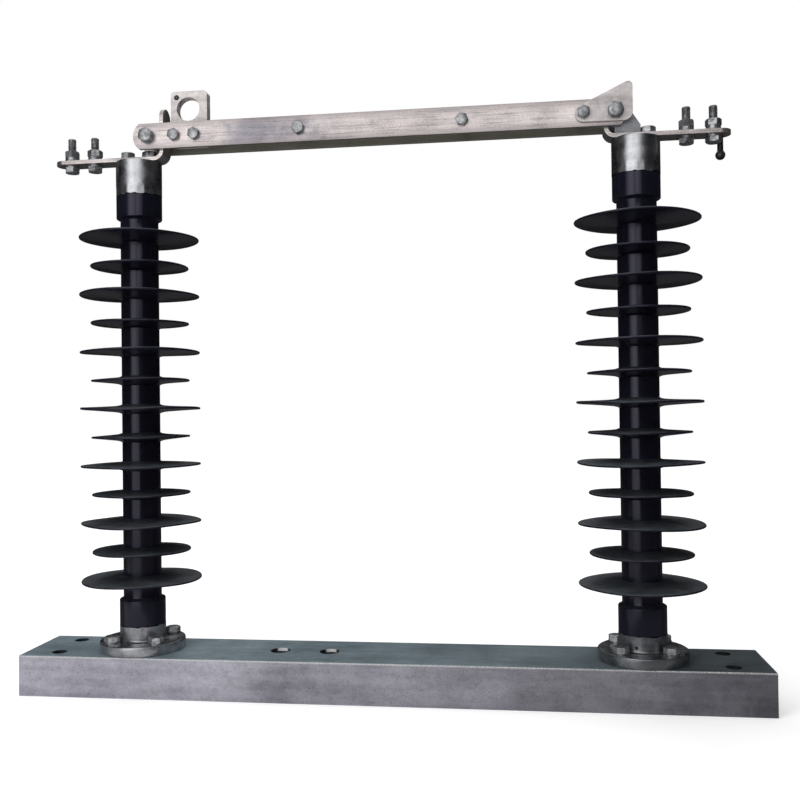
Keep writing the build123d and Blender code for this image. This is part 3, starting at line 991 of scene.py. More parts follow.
@dataclass(frozen=True)
class TinnedBar:
    """Drawn copper bar with a dull tin coat, rubbed lengthwise.

    It gives the eye a silver ground with long streaks, some pinkish where the copper warms through, and a
    satin sheen that breaks up along the bar. The streaks are drawn coarser than real scratches, so that they
    show.
    """

    name: str
    dark: str = "#80787a"
    light: str = "#e4dddb"
    warm: str = "#b59d99"
    # shade_colour: painted shade on the faces that look down, and on the blade's inner faces
    shade_colour: str = "#98968c"
    warm_share: float = 0.15
    under_shade_share: float = 0.8
    streak_mm: float = 2.0
    cloud_mm: float = 60.0
    grain_mm: float = 1.6
    streak_depth_mm: float = 0.03
    length_ratio: float = 0.03
    cloud_share: float = 0.45
    grain_share: float = 0.22
    metallic: float = 0.75
    roughness: float = 0.3

    def make(self) -> bpy.types.Material:
        """Makes the material.

        Returns:
            The material.
        """
        sheet = Sheet(self.name)
        stretch = sheet.add(Kind.STRETCH, {"Scale": (self.length_ratio, 1.0, 1.0), "Vector": sheet.where})
        streaks = sheet.add(
            Kind.NOISE,
            {"Scale": per_metre(self.streak_mm), "Detail": 4.0, "Roughness": 0.65, "Vector": stretch},
        )
        clouds = sheet.add(
            Kind.NOISE,
            {"Scale": per_metre(self.cloud_mm), "Detail": 6.0, "Roughness": 0.65, "Vector": sheet.where},
        )
        grain = sheet.add(
            Kind.NOISE, {"Scale": per_metre(self.grain_mm), "Detail": 4.0, "Vector": sheet.where}
        )
        both = sheet.add(Kind.BLEND, {0: self.cloud_share, 2: streaks, 3: clouds})
        rubbed = sheet.add(Kind.BLEND, {0: self.grain_share, 2: both, 3: grain})
        tone = sheet.add(Kind.RAMP, {"Value": rubbed, "From Min": 0.37, "From Max": 0.6})
        tin = sheet.add(Kind.PAINT, {SHARE: tone, UNDER: linear(self.dark), OVER: linear(self.light)})
        patch = sheet.add(
            Kind.RAMP, {"Value": streaks, "From Min": 0.5, "From Max": 0.72, "To Max": self.warm_share}
        )
        warmed = sheet.add(Kind.PAINT, {SHARE: patch, UNDER: tin, OVER: linear(self.warm)})
        darkened = self.age(sheet, warmed, clouds)
        rough = sheet.add(
            Kind.RAMP,
            {
                "Value": clouds,
                "From Min": 0.3,
                "From Max": 0.7,
                "To Min": self.roughness + 0.1,
                "To Max": self.roughness - 0.05,
            },
        )
        # painted shade on the faces that look down, and on the blade's inner faces
        colour = sheet.add(
            Kind.PAINT, {SHARE: self.shaded_part(sheet), UNDER: darkened, OVER: linear(self.shade_colour)}
        )
        bump = sheet.add(
            Kind.BUMP, {"Strength": 0.25, "Distance": self.streak_depth_mm * MM, "Height": streaks}
        )
        return sheet.finish(
            {"Metallic": self.metallic, "Base Color": colour, "Roughness": rough, "Normal": bump}
        )

    def age(self, sheet: Sheet, warmed: bpy.types.Node, clouds: bpy.types.Node) -> bpy.types.Node:
        """The tin darkened in places: here it is as it was."""
        return warmed

    def shaded_part(self, sheet: Sheet) -> bpy.types.Node:
        """How much painted shade a face takes: mostly where it looks down.

        Args:
            sheet: the material being made.

        Returns:
            The node that gives the tarnish's share.
        """
        down = sheet.facing()[2]
        return sheet.add(
            Kind.RAMP, {"Value": down, "From Min": -0.6, "From Max": -0.95, "To Max": self.under_shade_share}
        )


@dataclass(frozen=True)
class TinnedBlade(TinnedBar):
    """The same bar as a blade.

    It gives the eye more of the copper's warmth, a dull bluish stretch, painted shade along the long edges
    that leaves a painted lengthwise highlight in the middle, and painted shade on the inner faces between the
    blades.
    """

    warm_share: float = 0.6
    dull: str = "#a8abb6"
    dull_at_mm: float = -146.0
    dull_reach_mm: float = 62.0
    dull_slow: float = 0.5
    dull_share: float = 0.95
    dull_wander_mm: float = 45.0
    middle_mm: float = 673.2
    # edge_shade: painted shade along the long edges, which leaves a painted highlight band in the middle
    edge_shade_from_mm: float = 6.0
    edge_shade_to_mm: float = 16.0
    edge_shade_share: float = 0.65
    edge_shade_wander_mm: float = 4.0
    # the inner faces between the blades, within inner_mm of the middle, take painted shade
    inner_mm: float = 12.8
    inner_fade_mm: float = 0.4
    inner_shade_share: float = 0.9

    def age(self, sheet: Sheet, warmed: bpy.types.Node, clouds: bpy.types.Node) -> bpy.types.Node:
        """Dulls a stretch of the blade and paints shade along its edges, leaving a lengthwise highlight in
        the middle.
        """
        return self.shaded_edges(sheet, self.dull_stretch(sheet, warmed, clouds), clouds)

    def wander(self, sheet: Sheet, place: Any, clouds: bpy.types.Node, reach_mm: float) -> bpy.types.Node:
        """Pushes a place about with the clouds.

        Args:
            sheet: the material being made.
            place: the node or output that gives the place.
            clouds: the clouds.
            reach_mm: how far they push it, either way.

        Returns:
            The node that gives the moved place.
        """
        reach = reach_mm * MM
        push = sheet.add(
            Kind.RAMP, {"Value": clouds, "From Min": 0.3, "From Max": 0.7, "To Min": -reach, "To Max": reach}
        )
        return sheet.add(Kind.ADD, {0: place, 1: push})

    def dull_stretch(self, sheet: Sheet, colour: bpy.types.Node, clouds: bpy.types.Node) -> bpy.types.Node:
        """Dulls a stretch of the blade, which ends soon to its left and dies away slowly to its right.

        The distance from the stretch is the greater of -offset and slow times offset, where the offset is
        x, pushed about by the clouds, less the stretch's place.

        Args:
            sheet: the material being made.
            colour: the blade's colour so far.
            clouds: the noise that gives the clouds.

        Returns:
            The node that gives the colour.
        """
        moved = self.wander(sheet, sheet.place()[0], clouds, self.dull_wander_mm)
        offset = sheet.add(Kind.SUBTRACT, {0: moved, 1: self.dull_at_mm * MM})
        left = sheet.add(Kind.MULTIPLY, {0: offset, 1: -1.0})
        right = sheet.add(Kind.MULTIPLY, {0: offset, 1: self.dull_slow})
        away = sheet.add(Kind.MAXIMUM, {0: left, 1: right})
        dulled = sheet.add(
            Kind.EASED_RAMP,
            {"Value": away, "From Min": self.dull_reach_mm * MM, "From Max": 0.0, "To Max": self.dull_share},
        )
        return sheet.add(Kind.TINT, {SHARE: dulled, UNDER: colour, OVER: linear(self.dull)})

    def shaded_edges(self, sheet: Sheet, colour: bpy.types.Node, clouds: bpy.types.Node) -> bpy.types.Node:
        """Paints shade along the blade's long edges, up to a line that wanders with the clouds: a painted
        lengthwise highlight.

        Args:
            sheet: the material being made.
            colour: the blade's colour so far.
            clouds: the noise that gives the clouds.

        Returns:
            The node that gives the colour.
        """
        away = sheet.height_from(self.middle_mm * MM)
        moved = self.wander(sheet, away, clouds, self.edge_shade_wander_mm)
        edge_shade = sheet.add(
            Kind.RAMP,
            {
                "Value": moved,
                "From Min": self.edge_shade_from_mm * MM,
                "From Max": self.edge_shade_to_mm * MM,
                "To Max": self.edge_shade_share,
            },
        )
        # painted shade towards the long edges
        return sheet.add(Kind.PAINT, {SHARE: edge_shade, UNDER: colour, OVER: linear(self.dark)})

    def shaded_part(self, sheet: Sheet) -> bpy.types.Node:
        """How much painted shade a face takes: where it looks down, or lies within inner_mm of the middle.

        Args:
            sheet: the material being made.

        Returns:
            The node that gives the tarnish's share.
        """
        under = super().shaded_part(sheet)
        side = sheet.add(Kind.ABSOLUTE, {0: sheet.place()[1]})
        inner = sheet.add(
            Kind.RAMP,
            {
                "Value": side,
                "From Min": (self.inner_mm + self.inner_fade_mm) * MM,
                "From Max": self.inner_mm * MM,
                "To Max": self.inner_shade_share,
            },
        )
        return sheet.add(Kind.MAXIMUM, {0: under, 1: inner})


@dataclass(frozen=True)
class Steel:
    """Forged or cut steel with a thin plating that the weather has dulled in patches.

    It gives the eye a grey metal with lighter and darker blotches and a fine grain, which is drawn coarser
    than the real one, so that it shows.
    """

    name: str
    dark: str = "#77797c"
    light: str = "#b4b5b8"
    blotch_mm: float = 5.0
    grain_mm: float = 0.9
    grain_depth_mm: float = 0.04
    metallic: float = 0.9
    roughness: float = 0.36

    def make(self) -> bpy.types.Material:
        """Makes the material.

        Returns:
            The material.
        """
        sheet = Sheet(self.name)
        blotches = sheet.add(
            Kind.NOISE,
            {"Scale": per_metre(self.blotch_mm), "Detail": 5.0, "Roughness": 0.6, "Vector": sheet.where},
        )
        grain = sheet.add(
            Kind.NOISE, {"Scale": per_metre(self.grain_mm), "Detail": 2.0, "Vector": sheet.where}
        )
        tone = sheet.add(Kind.RAMP, {"Value": blotches, "From Min": 0.36, "From Max": 0.62})
        colour = sheet.add(Kind.PAINT, {SHARE: tone, UNDER: linear(self.dark), OVER: linear(self.light)})
        rough = sheet.add(
            Kind.RAMP, {"Value": tone, "To Min": self.roughness + 0.16, "To Max": self.roughness}
        )
        bump = sheet.add(
            Kind.BUMP, {"Strength": 0.35, "Distance": self.grain_depth_mm * MM, "Height": grain}
        )
        return sheet.finish(
            {"Metallic": self.metallic, "Base Color": colour, "Roughness": rough, "Normal": bump}
        )


@dataclass(frozen=True)
class GlassFibre:
    """Pultruded glass fibre in epoxy: a pale green rod with long fine fibres under a gloss.

    The fibres are drawn coarser than real ones, so that they show.
    """

    name: str
    dark: str = "#8f9a78"
    light: str = "#c3cbaa"
    fibre_mm: float = 0.8
    length_ratio: float = 0.02
    roughness: float = 0.3
    refraction: float = 1.55

    def make(self) -> bpy.types.Material:
        """Makes the material.

        Returns:
            The material.
        """
        sheet = Sheet(self.name)
        stretch = sheet.add(Kind.STRETCH, {"Scale": (1.0, 1.0, self.length_ratio), "Vector": sheet.where})
        fibres = sheet.add(Kind.NOISE, {"Scale": per_metre(self.fibre_mm), "Detail": 3.0, "Vector": stretch})
        colour = sheet.add(Kind.PAINT, {SHARE: fibres, UNDER: linear(self.dark), OVER: linear(self.light)})
        return sheet.finish({"Roughness": self.roughness, "IOR": self.refraction, "Base Color": colour})


class Finishes:
    """Every finish of the switch, made once."""

    def __init__(self) -> None:
        """Makes them."""
        self.channel: bpy.types.Material = GalvanisedChannel("galvanised_channel").make()
        self.cap: bpy.types.Material = GalvanisedForging(
            "galvanised_cap",
            dark="#9ea0a4",
            light="#dfe0e4",
            crystal_mm=2.0,
            crystal_share=0.08,
            cloud_mm=20.0,
            speck_mm=1.2,
            speck_share=0.5,
            metallic=1.0,
            roughness=0.32,
            joint_mm=602.0,
        ).make()
        self.foot: bpy.types.Material = GalvanisedForging(
            "galvanised_foot", dark="#808287", light="#d8d9dd"
        ).make()
        # a darker copy of the foot's finish for the right post: painted shade
        self.shaded_foot: bpy.types.Material = GalvanisedForging(
            "galvanised_foot_shaded", dark="#6a6c70", light="#b5b6ba", speck_share=0.65, roughness=0.34
        ).make()
        self.bracket: bpy.types.Material = Galvanised(
            "galvanised_bracket",
            dark="#606367",
            light="#a6a8ac",
            crystal_mm=2.2,
            cloud_mm=16.0,
            speck_share=0.6,
        ).make()
        self.pale_plate: bpy.types.Material = Galvanised(
            "pale_zinc_plate",
            dark="#948e8d",
            light="#ddd7d6",
            crystal_mm=4.0,
            cloud_mm=24.0,
            speck_mm=1.2,
            speck_share=0.3,
            crystal_share=0.25,
            metallic=0.4,
            roughness=0.38,
        ).make()
        self.rubber: bpy.types.Material = Silicone("silicone_rubber").make()
        self.bar: bpy.types.Material = TinnedBar("tinned_copper_bar", metallic=0.92).make()
        self.blade: bpy.types.Material = TinnedBlade("tinned_copper_blade").make()
        self.zinc: bpy.types.Material = Steel("zinc_plated_steel").make()
        # a lighter copy of the zinc plating for the flange bolts: painted highlight on their facets
        self.lit_zinc: bpy.types.Material = Steel(
            "zinc_plated_lit", dark="#a4a6a9", light="#e4e5e7", roughness=0.28
        ).make()
        self.grey_steel: bpy.types.Material = Steel("weathered_steel", dark="#75767a", light="#bdbec1").make()
        self.dark_steel: bpy.types.Material = Steel(
            "blackened_steel", dark="#26272a", light="#54565a", blotch_mm=7.0, roughness=0.42
        ).make()
        self.rod: bpy.types.Material = GlassFibre("glass_fibre_rod").make()


# The switch


@dataclass(frozen=True)
class BaseChannel:
    """The rolled channel that carries both posts, web up."""

    edge: float = 0.7 * MM

    def build(self, finishes: Finishes) -> None:
        """Rounds the channel's cut edges and dresses it."""
        piece = rounded_copy("base_channel", "channel_rolled", self.edge, finishes.channel)
        fit(piece, "switch_base", "hot_dip_zinc", "base_channel")


@dataclass(frozen=True)
class Post:
    """One post insulator: forged foot, silicone housing with sheds, and crimped cap."""

    side: str
    axis_x: float
    foot_low: float = 48 * MM
    foot_high: float = 60 * MM
    foot_radius: float = 51 * MM
    foot_under_inset: float = 1.5 * MM
    foot_under_ease: float = 1.0 * MM
    foot_top_ease: float = 1.4 * MM
    neck_radius: float = 27.5 * MM
    neck_fillet: float = 2.4 * MM
    neck_start: float = 3.4 * MM
    neck_rings: int = 14
    lip_inset: float = 0.7 * MM
    lip_height: float = 0.8 * MM
    rubber_low: float = 79 * MM
    rubber_high: float = 602 * MM
    cap_high: float = 645 * MM
    cap_ease: float = 1.2 * MM
    cap_barrel_end: float = 1.6 * MM
    cap_rings: int = 24
    sleeve_radius: float = 27.3 * MM
    sleeve_end: float = 10 * MM
    sleeve_ease: float = 1.5 * MM
    sleeve_ease_angle: float = 60
    core_radius: float = 22.7 * MM
    core_step: float = 0.3 * MM
    core_rise: float = 1 * MM
    sleeve_low_top: float = 111.5 * MM
    sleeve_high_foot: float = 573 * MM
    sleeve_shoulder: float = 3 * MM
    shed_count: int = 13
    lowest_shed: float = 133.2 * MM
    shed_pitch: float = 34.8 * MM
    large_shed: float = 71.5 * MM
    small_shed: float = 58.7 * MM
    taper_rings: int = 8
    taper_power: float = 1.7
    half_rim: float = 1.3 * MM
    rim_angle: float = 72
    top_rise: float = 2.4 * MM
    under_drop: float = 3.6 * MM
    root_fillet: float = 1.6 * MM
    root_reach: float = 2.5 * MM
    sag: float = 1.3 * MM
    least_sag: float = 0.25
    crimp_count: int = 16
    crimp_depth: float = 0.32 * MM
    crimp_height: float = 12 * MM
    crimp_fade: float = 1.5 * MM
    crimp_gap: float = 0.2 * MM
    foot_crimp_share: float = 0.6
    foot_crimp_start: float = 5 * MM
    front_corners: Spot = (35.0, 38.0)
    # dull: the foot takes the darker copy of its finish, which paints shade on it
    dull: bool = False
    vent: bool = False
    vent_angle: float = math.radians(-112)
    vent_height: float = 66 * MM
    vent_radius: float = 2.0 * MM
    vent_rise: float = 0.25 * MM
    vent_depth: float = 1 * MM
    vent_steps: int = 24
    seed: int = 7

    def shed(self, height: float, radius: float) -> np.ndarray:
        """One shed in (r, z), from under its root, round its rim, to over its root.

        Each side is a straight taper plus a root fillet that dies away as exp(-(r - core) / reach).

        Args:
            height: the height of the rim's middle.
            radius: the radius out to the rim.

        Returns:
            (n, 2) points (r, z).
        """
        span = radius - self.half_rim - self.core_radius
        out = self.core_radius + span * np.linspace(0, 1, self.taper_rings) ** self.taper_power
        share = (radius - self.half_rim - out) / span
        root = self.root_fillet * np.exp(-(out - self.core_radius) / self.root_reach)
        under = np.stack([out, height - self.half_rim - self.under_drop * share - root], axis=-1)
        over = np.stack([out, height + self.half_rim + self.top_rise * share + root], axis=-1)
        rim = arc((radius - self.half_rim, height), self.half_rim, -self.rim_angle, self.rim_angle, 6)
        return np.concatenate([under, rim, over[::-1]])

    def housing(self) -> Part:
        """Sleeves, core and sheds turned about the post.

        A shed sags by sag (share of its reach)^2 sin(k a + phase), with k and the phase its own.

        Returns:
            The points and faces.
        """
        wide, core = self.sleeve_radius, self.core_radius
        ease, turn = self.sleeve_ease, self.sleeve_ease_angle
        low, high = self.sleeve_low_top, self.sleeve_high_foot
        below = [
            np.array([[wide, self.rubber_low], [wide, self.rubber_low + self.sleeve_end]]),
            arc((wide - ease, low - self.sleeve_shoulder), ease, 0, turn, 5),
            np.array([[core + self.core_step, low], [core, low + self.core_rise]]),
        ]
        sheds = [
            self.shed(self.lowest_shed + i * self.shed_pitch, self.small_shed if i % 2 else self.large_shed)
            for i in range(self.shed_count)
        ]
        above = [
            np.array([[core, high - self.core_rise], [core + self.core_step, high]]),
            arc((wide - ease, high + self.sleeve_shoulder), ease, -turn, 0, 5),
            np.array([[wide, self.rubber_high - self.sleeve_end], [wide, self.rubber_high]]),
        ]
        pieces = [*below, *sheds, *above]
        rows = [len(piece) for piece in pieces]
        shed = np.repeat([0] * len(below) + list(range(self.shed_count)) + [0] * len(above), rows)
        on_shed = np.repeat([0.0] * len(below) + [1.0] * self.shed_count + [0.0] * len(above), rows)
        outline = np.concatenate(pieces)
        weight = on_shed * ((outline[:, 0] - core) / (self.large_shed - core)) ** 2
        chance = np.random.default_rng(self.seed)
        waves = chance.integers(2, 4, self.shed_count)
        phase = chance.uniform(0, 2 * np.pi, self.shed_count)
        size = self.sag * chance.uniform(self.least_sag, 1.0, self.shed_count)
        angle = np.arange(ROUND_STEPS) * (2 * np.pi / ROUND_STEPS)
        sway = size[shed][:, None] * np.sin(waves[shed][:, None] * angle[None, :] + phase[shed][:, None])
        height = outline[:, 1][:, None] + weight[:, None] * sway
        rings = turned(np.broadcast_to(outline[:, 0][:, None], height.shape), height)
        return loft(rings + np.array([self.axis_x, 0, 0]))

    def crimped(self, outline: np.ndarray, low: float, high: float, depth: float) -> Part:
        """Turns an outline and presses flats into it between two heights.

        In a flat the radius is the least of the outline's and flat / cos(angle from the flat's middle).
        The press fades over crimp_fade at each end.

        Args:
            outline: (n, 2) points (r, z).
            low: where the flats start.
            high: where they end.
            depth: how far they are pressed in.

        Returns:
            The points and faces.
        """
        angle = np.arange(ROUND_STEPS * 2) * (np.pi / ROUND_STEPS)
        sector = 2 * np.pi / self.crimp_count
        flat = (self.neck_radius - depth) / np.cos((angle + sector / 3) % sector - sector / 2)
        fade = np.clip(np.minimum(outline[:, 1] - low, high - outline[:, 1]) / self.crimp_fade, 0, 1)
        round_radius = np.broadcast_to(outline[:, 0][:, None], (len(outline), len(angle)))
        pressed = np.minimum(round_radius, flat[None, :])
        radius = round_radius + fade[:, None] * (pressed - round_radius)
        rings = turned(radius, outline[:, 1], ROUND_STEPS * 2)
        return loft(rings + np.array([self.axis_x, 0, 0]))

    def cap(self) -> Part:
        """The cap: a turned barrel with a rounded crown, crimped round its foot.

        Returns:
            The points and faces.
        """
        low, high, radius, ease = self.rubber_high, self.cap_high, self.neck_radius, self.cap_ease
        foot = np.array([[self.core_radius, low], [radius - self.lip_inset, low]])
        climb = np.linspace(low + self.lip_height, high - self.cap_barrel_end, self.cap_rings)
        barrel = np.stack([np.full(self.cap_rings, radius), climb], axis=-1)
        outline = np.concatenate([foot, barrel, arc((radius - ease, high - ease), ease, 0, 90, 5)])
        return self.crimped(outline, low + self.crimp_gap, low + self.crimp_height, self.crimp_depth)

    def foot(self) -> Part:
        """The foot: a turned disc, a filleted neck, and a lighter crimp under the rubber.

        Returns:
            The points and faces.
        """
        low, high, wide = self.foot_low, self.foot_high, self.foot_radius
        under, top = self.foot_under_ease, self.foot_top_ease
        fillet, radius = self.neck_fillet, self.neck_radius
        climb = np.linspace(high + self.neck_start, self.rubber_low - self.lip_height, self.neck_rings)
        outline = np.concatenate(
            [
                np.array([[wide - self.foot_under_inset, low]]),
                arc((wide - under, low + under), under, -45, 0, 3),
                arc((wide - top, high - top), top, 0, 90, 5),
                arc((radius + fillet, high + fillet), fillet, 270, 180, 6),
                np.stack([np.full(self.neck_rings, radius), climb], axis=-1),
                np.array([[radius - self.lip_inset, self.rubber_low]]),
            ]
        )
        start, end = high + self.foot_crimp_start, self.rubber_low - self.crimp_gap
        return self.crimped(outline, start, end, self.crimp_depth * self.foot_crimp_share)

    def vent_shade_dome(self) -> Part:
        """A low dark dome on the neck, painted shade for a vent hole, turned about the neck's radius at its
        angle.

        Returns:
            The points and faces.
        """
        slope = np.radians(np.linspace(4, 90, 8))
        dome = turned(self.vent_radius * np.cos(slope), self.vent_rise * np.sin(slope), self.vent_steps)
        root = turned(np.array([self.vent_radius]), np.array([-self.vent_depth]), self.vent_steps)
        rings = np.concatenate([root, dome[:-1]])
        out = np.array([math.cos(self.vent_angle), math.sin(self.vent_angle), 0.0])
        beside = np.array([-out[1], out[0], 0.0])
        up = np.array([0.0, 0.0, 1.0])
        foot = np.array([self.axis_x, 0, self.vent_height]) + out * self.neck_radius
        return loft(foot + rings[..., :1] * beside + rings[..., 1:2] * up + rings[..., 2:] * out)

    def build(self, finishes: Finishes) -> None:
        """Makes the post's three visible solids, the dark dome of its vent, and its bolts.

        Args:
            finishes: the finishes of the switch.
        """
        side, body = self.side, "switch_base"
        # the vent is a dark rubber dome: painted shade for the hole
        if self.vent:
            fit(make_object(side + "_vent", [self.vent_shade_dome()], finishes.rubber), body, "silicone")
        rubber = make_object(side + "_sheds", [self.housing()], finishes.rubber, MOULDED_SHARP_DEGREES)
        fit(rubber, body, "silicone", side + "_housing")
        cap = make_object(side + "_cap_turned", [self.cap()], finishes.cap, FORGED_SHARP_DEGREES)
        fit(cap, body, "forged_zinc", side + "_top_cap")
        # the right foot's darker copy paints shade on it
        metal = finishes.shaded_foot if self.dull else finishes.foot
        foot = make_object(side + "_foot_turned", [self.foot()], metal, FORGED_SHARP_DEGREES)
        fit(foot, body, "forged_zinc", side + "_bottom_fitting")
        dress(side + "_core_rod", finishes.rod)
        for washers in ("_flange_washers", "_cap_washers"):
            dress(side + washers, finishes.zinc)
        corners = dict(zip((0, 2), self.front_corners))
        # the flange bolts take the lighter copy of the plating: painted highlight
        hex_set(side + "_flange_bolts", Heading.DOWN, body, finishes.lit_zinc, corners=corners)
        hex_set(side + "_flange_nuts", Heading.DOWN, body, finishes.zinc)
        hex_set(side + "_cap_bolts", Heading.DOWN, body, finishes.grey_steel)


@dataclass(frozen=True)
class Terminal:
    """One flat bar terminal with its two studs, nuts and washers."""

    side: str
    edge: float = 0.5 * MM
    stud_thread: float = 25 * MM

    def build(self, finishes: Finishes) -> None:
        """Rounds the bar's edges and makes its fasteners.

        Args:
            finishes: the finishes of the switch.
        """
        terminal, body = self.side + "_terminal", "switch_base"
        bar = rounded_copy(terminal, terminal + "_bar", self.edge, finishes.bar)
        fit(bar, body, "tinned_copper", terminal)
        hex_set(terminal + "_bolts", Heading.UP, body, finishes.grey_steel, self.stud_thread)
        hex_set(terminal + "_nuts", Heading.UP, body, finishes.zinc)
        dress(terminal + "_washers", finishes.zinc)


@dataclass(frozen=True)
class BallStub:
    """The ball-ended stub that hangs under the right bar."""

    x: float = 396 * MM
    y: float = 8.6 * MM
    neck: float = 3.4 * MM
    ball: float = 5.6 * MM
    ball_height: float = 624.5 * MM
    top: float = 650 * MM
    lowest_share: float = -0.985
    highest_share: float = 0.9
    ball_rings: int = 22
    steps: int = 48
    blend_widening: float = 0.15 * MM
    blend_rise: float = 0.6 * MM
    neck_rise: float = 1.6 * MM

    def build(self, finishes: Finishes) -> None:
        """Turns the stub: r = sqrt(ball^2 - (z - centre)^2) on the ball, blending into the neck.

        Args:
            finishes: the finishes of the switch.
        """
        rise = math.sqrt(self.ball**2 - self.neck**2)
        shares = np.linspace(self.lowest_share, rise / self.ball * self.highest_share, self.ball_rings)
        sphere = self.ball_height + shares * self.ball
        round_part = np.sqrt(self.ball**2 - (sphere - self.ball_height) ** 2)
        collar = self.ball_height + rise
        heights = np.concatenate([sphere, [collar + self.blend_rise, collar + self.neck_rise, self.top]])
        radius = np.concatenate([round_part, [self.neck + self.blend_widening, self.neck, self.neck]])
        rings = turned(radius, heights, self.steps) + np.array([self.x, self.y, 0])
        piece = make_object("stub_turned", [loft(rings)], finishes.dark_steel, MOULDED_SHARP_DEGREES)
        fit(piece, "switch_base", "dark_steel", "ball_stub")


@dataclass(frozen=True)
class Hinge:
    """The hinge bracket on the right cap, with the pivot bolt through its ears."""

    edge: float = 0.35 * MM

    def build(self, finishes: Finishes) -> None:
        """Rounds the bracket's edges and makes the pivot's bolt and nut.

        Args:
            finishes: the finishes of the switch.
        """
        piece = rounded_copy("hinge_bracket", "hinge_folded", self.edge, finishes.bracket)
        fit(piece, "switch_base", "hot_dip_zinc", "hinge_bracket")
        for node in ("pivot_bolt", "pivot_nut"):
            hex_set(node, Heading.REAR, "knife", finishes.zinc)


@dataclass(frozen=True)
class Knife:
    """The moving pair of blades with their stop plates, spacers and bolts."""

    blade_edge: float = 0.6 * MM
    plate_edge: float = 0.4 * MM

    def build(self, finishes: Finishes) -> None:
        """Rounds the blades and plates and makes the bolts that hold them.

        Args:
            finishes: the finishes of the switch.
        """
        for place in ("front", "rear"):
            blade = rounded_copy(place + "_blade", place + "_blade_bar", self.blade_edge, finishes.blade)
            fit(blade, "knife", "tinned_copper", place + "_blade")
            node = place + "_stop_plate"
            plate = rounded_copy(node, place + "_stop_cut", self.plate_edge, finishes.pale_plate)
            fit(plate, "knife", "zinc_plate", node)
        for node in ("blade_spacers", "knife_bolt_washers"):
            dress(node, finishes.zinc)
        for node in ("blade_bolts", "blade_nuts", "contact_bolt", "contact_nut"):
            hex_set(node, Heading.REAR, "knife", finishes.zinc)


@dataclass(frozen=True)
class PullRing:
    """The folded pull ring between the blades, and the rivet that holds its leaves together."""

    edge: float = 0.3 * MM
    head_radius: float = 3.2 * MM
    head_height: float = 1.2 * MM
    head_rings: int = 7
    crown_angle: float = 0.12
    steps: int = 32
    head_sharp: float = 40

    def build(self, finishes: Finishes) -> None:
        """Rounds the ring's edges and turns the rivet: each head is a cap of a sphere.

        Args:
            finishes: the finishes of the switch.
        """
        piece = rounded_copy("pull_ring", "ring_folded", self.edge, finishes.pale_plate)
        fit(piece, "knife", "zinc_plate", "pull_ring")
        low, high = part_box("pull_ring_rivet")
        centre = (low + high) / 2
        sphere = (self.head_radius**2 + self.head_height**2) / (2 * self.head_height)
        angle = np.linspace(self.crown_angle, math.asin(self.head_radius / sphere), self.head_rings)
        out = sphere * np.sin(angle)
        drop = sphere * (1 - np.cos(angle))
        half = (high.y - low.y) / 2
        radius = np.concatenate([out, out[::-1]])
        along = np.concatenate([-half + drop, half - drop[::-1]])
        rings = turned(radius, along, self.steps) @ Heading.REAR.turn().T
        skin = loft(rings + np.array(centre))
        rivet = make_object("rivet_domed", [skin], finishes.dark_steel, self.head_sharp)
        fit(rivet, "knife", "zinc_plate", "pull_ring_rivet")


# The studio


@dataclass(frozen=True)
class SoftBox:
    """A soft rectangular lamp. Mirrors see it only where mirrored is True."""

    name: str
    place: tuple[float, float, float]
    target: tuple[float, float, float]
    width: float
    height: float
    watts: float
    mirrored: bool = False

    def hang(self) -> None:
        """Hangs the lamp and points it at its target."""
        lamp = bpy.data.lights.new(self.name, "AREA")
        lamp.shape = "RECTANGLE"
        lamp.size = self.width
        lamp.size_y = self.height
        lamp.energy = self.watts
        hung = in_scene(self.name, lamp)
        place, target = np.array(self.place), np.array(self.target)
        hung.matrix_world = look(place, target - place)
        hung.visible_glossy = self.mirrored


def look(place: np.ndarray, forward: np.ndarray, roll: float = 0.0) -> Matrix:
    """The placing of a lamp or camera: -Z forward, X level, then rolled about the view.

    Args:
        place: where it stands.
        forward: the way it looks.
        roll: radians, which take its right towards its up.

    Returns:
        The world matrix.
    """
    ahead = forward / np.linalg.norm(forward)
    level = np.cross(ahead, [0.0, 0.0, 1.0])
    level /= np.linalg.norm(level)
    upright = np.cross(level, ahead)
    right = math.cos(roll) * level + math.sin(roll) * upright
    up = -math.sin(roll) * level + math.cos(roll) * upright
    matrix = np.eye(4)
    matrix[:3, 0], matrix[:3, 1], matrix[:3, 2], matrix[:3, 3] = right, up, -ahead, place
    return Matrix(matrix.tolist())


@dataclass(frozen=True)
class Viewpoint:
    """The camera of the photograph, solved from the object's known corners."""

    place: tuple[float, float, float] = (0.166131, -1.091865, 0.335722)
    yaw: float = 0.13092
    pitch: float = 0.01123
    roll: float = -0.01227
    focal_pixels: float = 926.011
    frame_pixels: float = 800.0
    sensor_mm: float = 36.0
    near: float = 0.01
    far: float = 60.0

    def set_up(self) -> None:
        """Makes the camera: forward is (-sin yaw cos pitch, cos yaw cos pitch, sin pitch)."""
        camera = bpy.data.cameras.new("camera")
        camera.sensor_width = self.sensor_mm
        camera.lens = self.focal_pixels * self.sensor_mm / self.frame_pixels
        camera.clip_start = self.near
        camera.clip_end = self.far
        stand = in_scene("camera", camera)
        forward = np.array(
            [
                -math.sin(self.yaw) * math.cos(self.pitch),
                math.cos(self.yaw) * math.cos(self.pitch),
                math.sin(self.pitch),
            ]
        )
        stand.matrix_world = look(np.array(self.place), forward, self.roll)
        bpy.context.scene.camera = stand


def level_sheet(low: Spot, high: Spot, above: float) -> Part:
    """A level rectangle from its low corner to its high one, at a height."""
    flat = np.array([[low[0], low[1]], [high[0], low[1]], [high[0], high[1]], [low[0], high[1]]])
    return np.column_stack([flat, np.full(4, above)]), [[0, 1, 2, 3]]


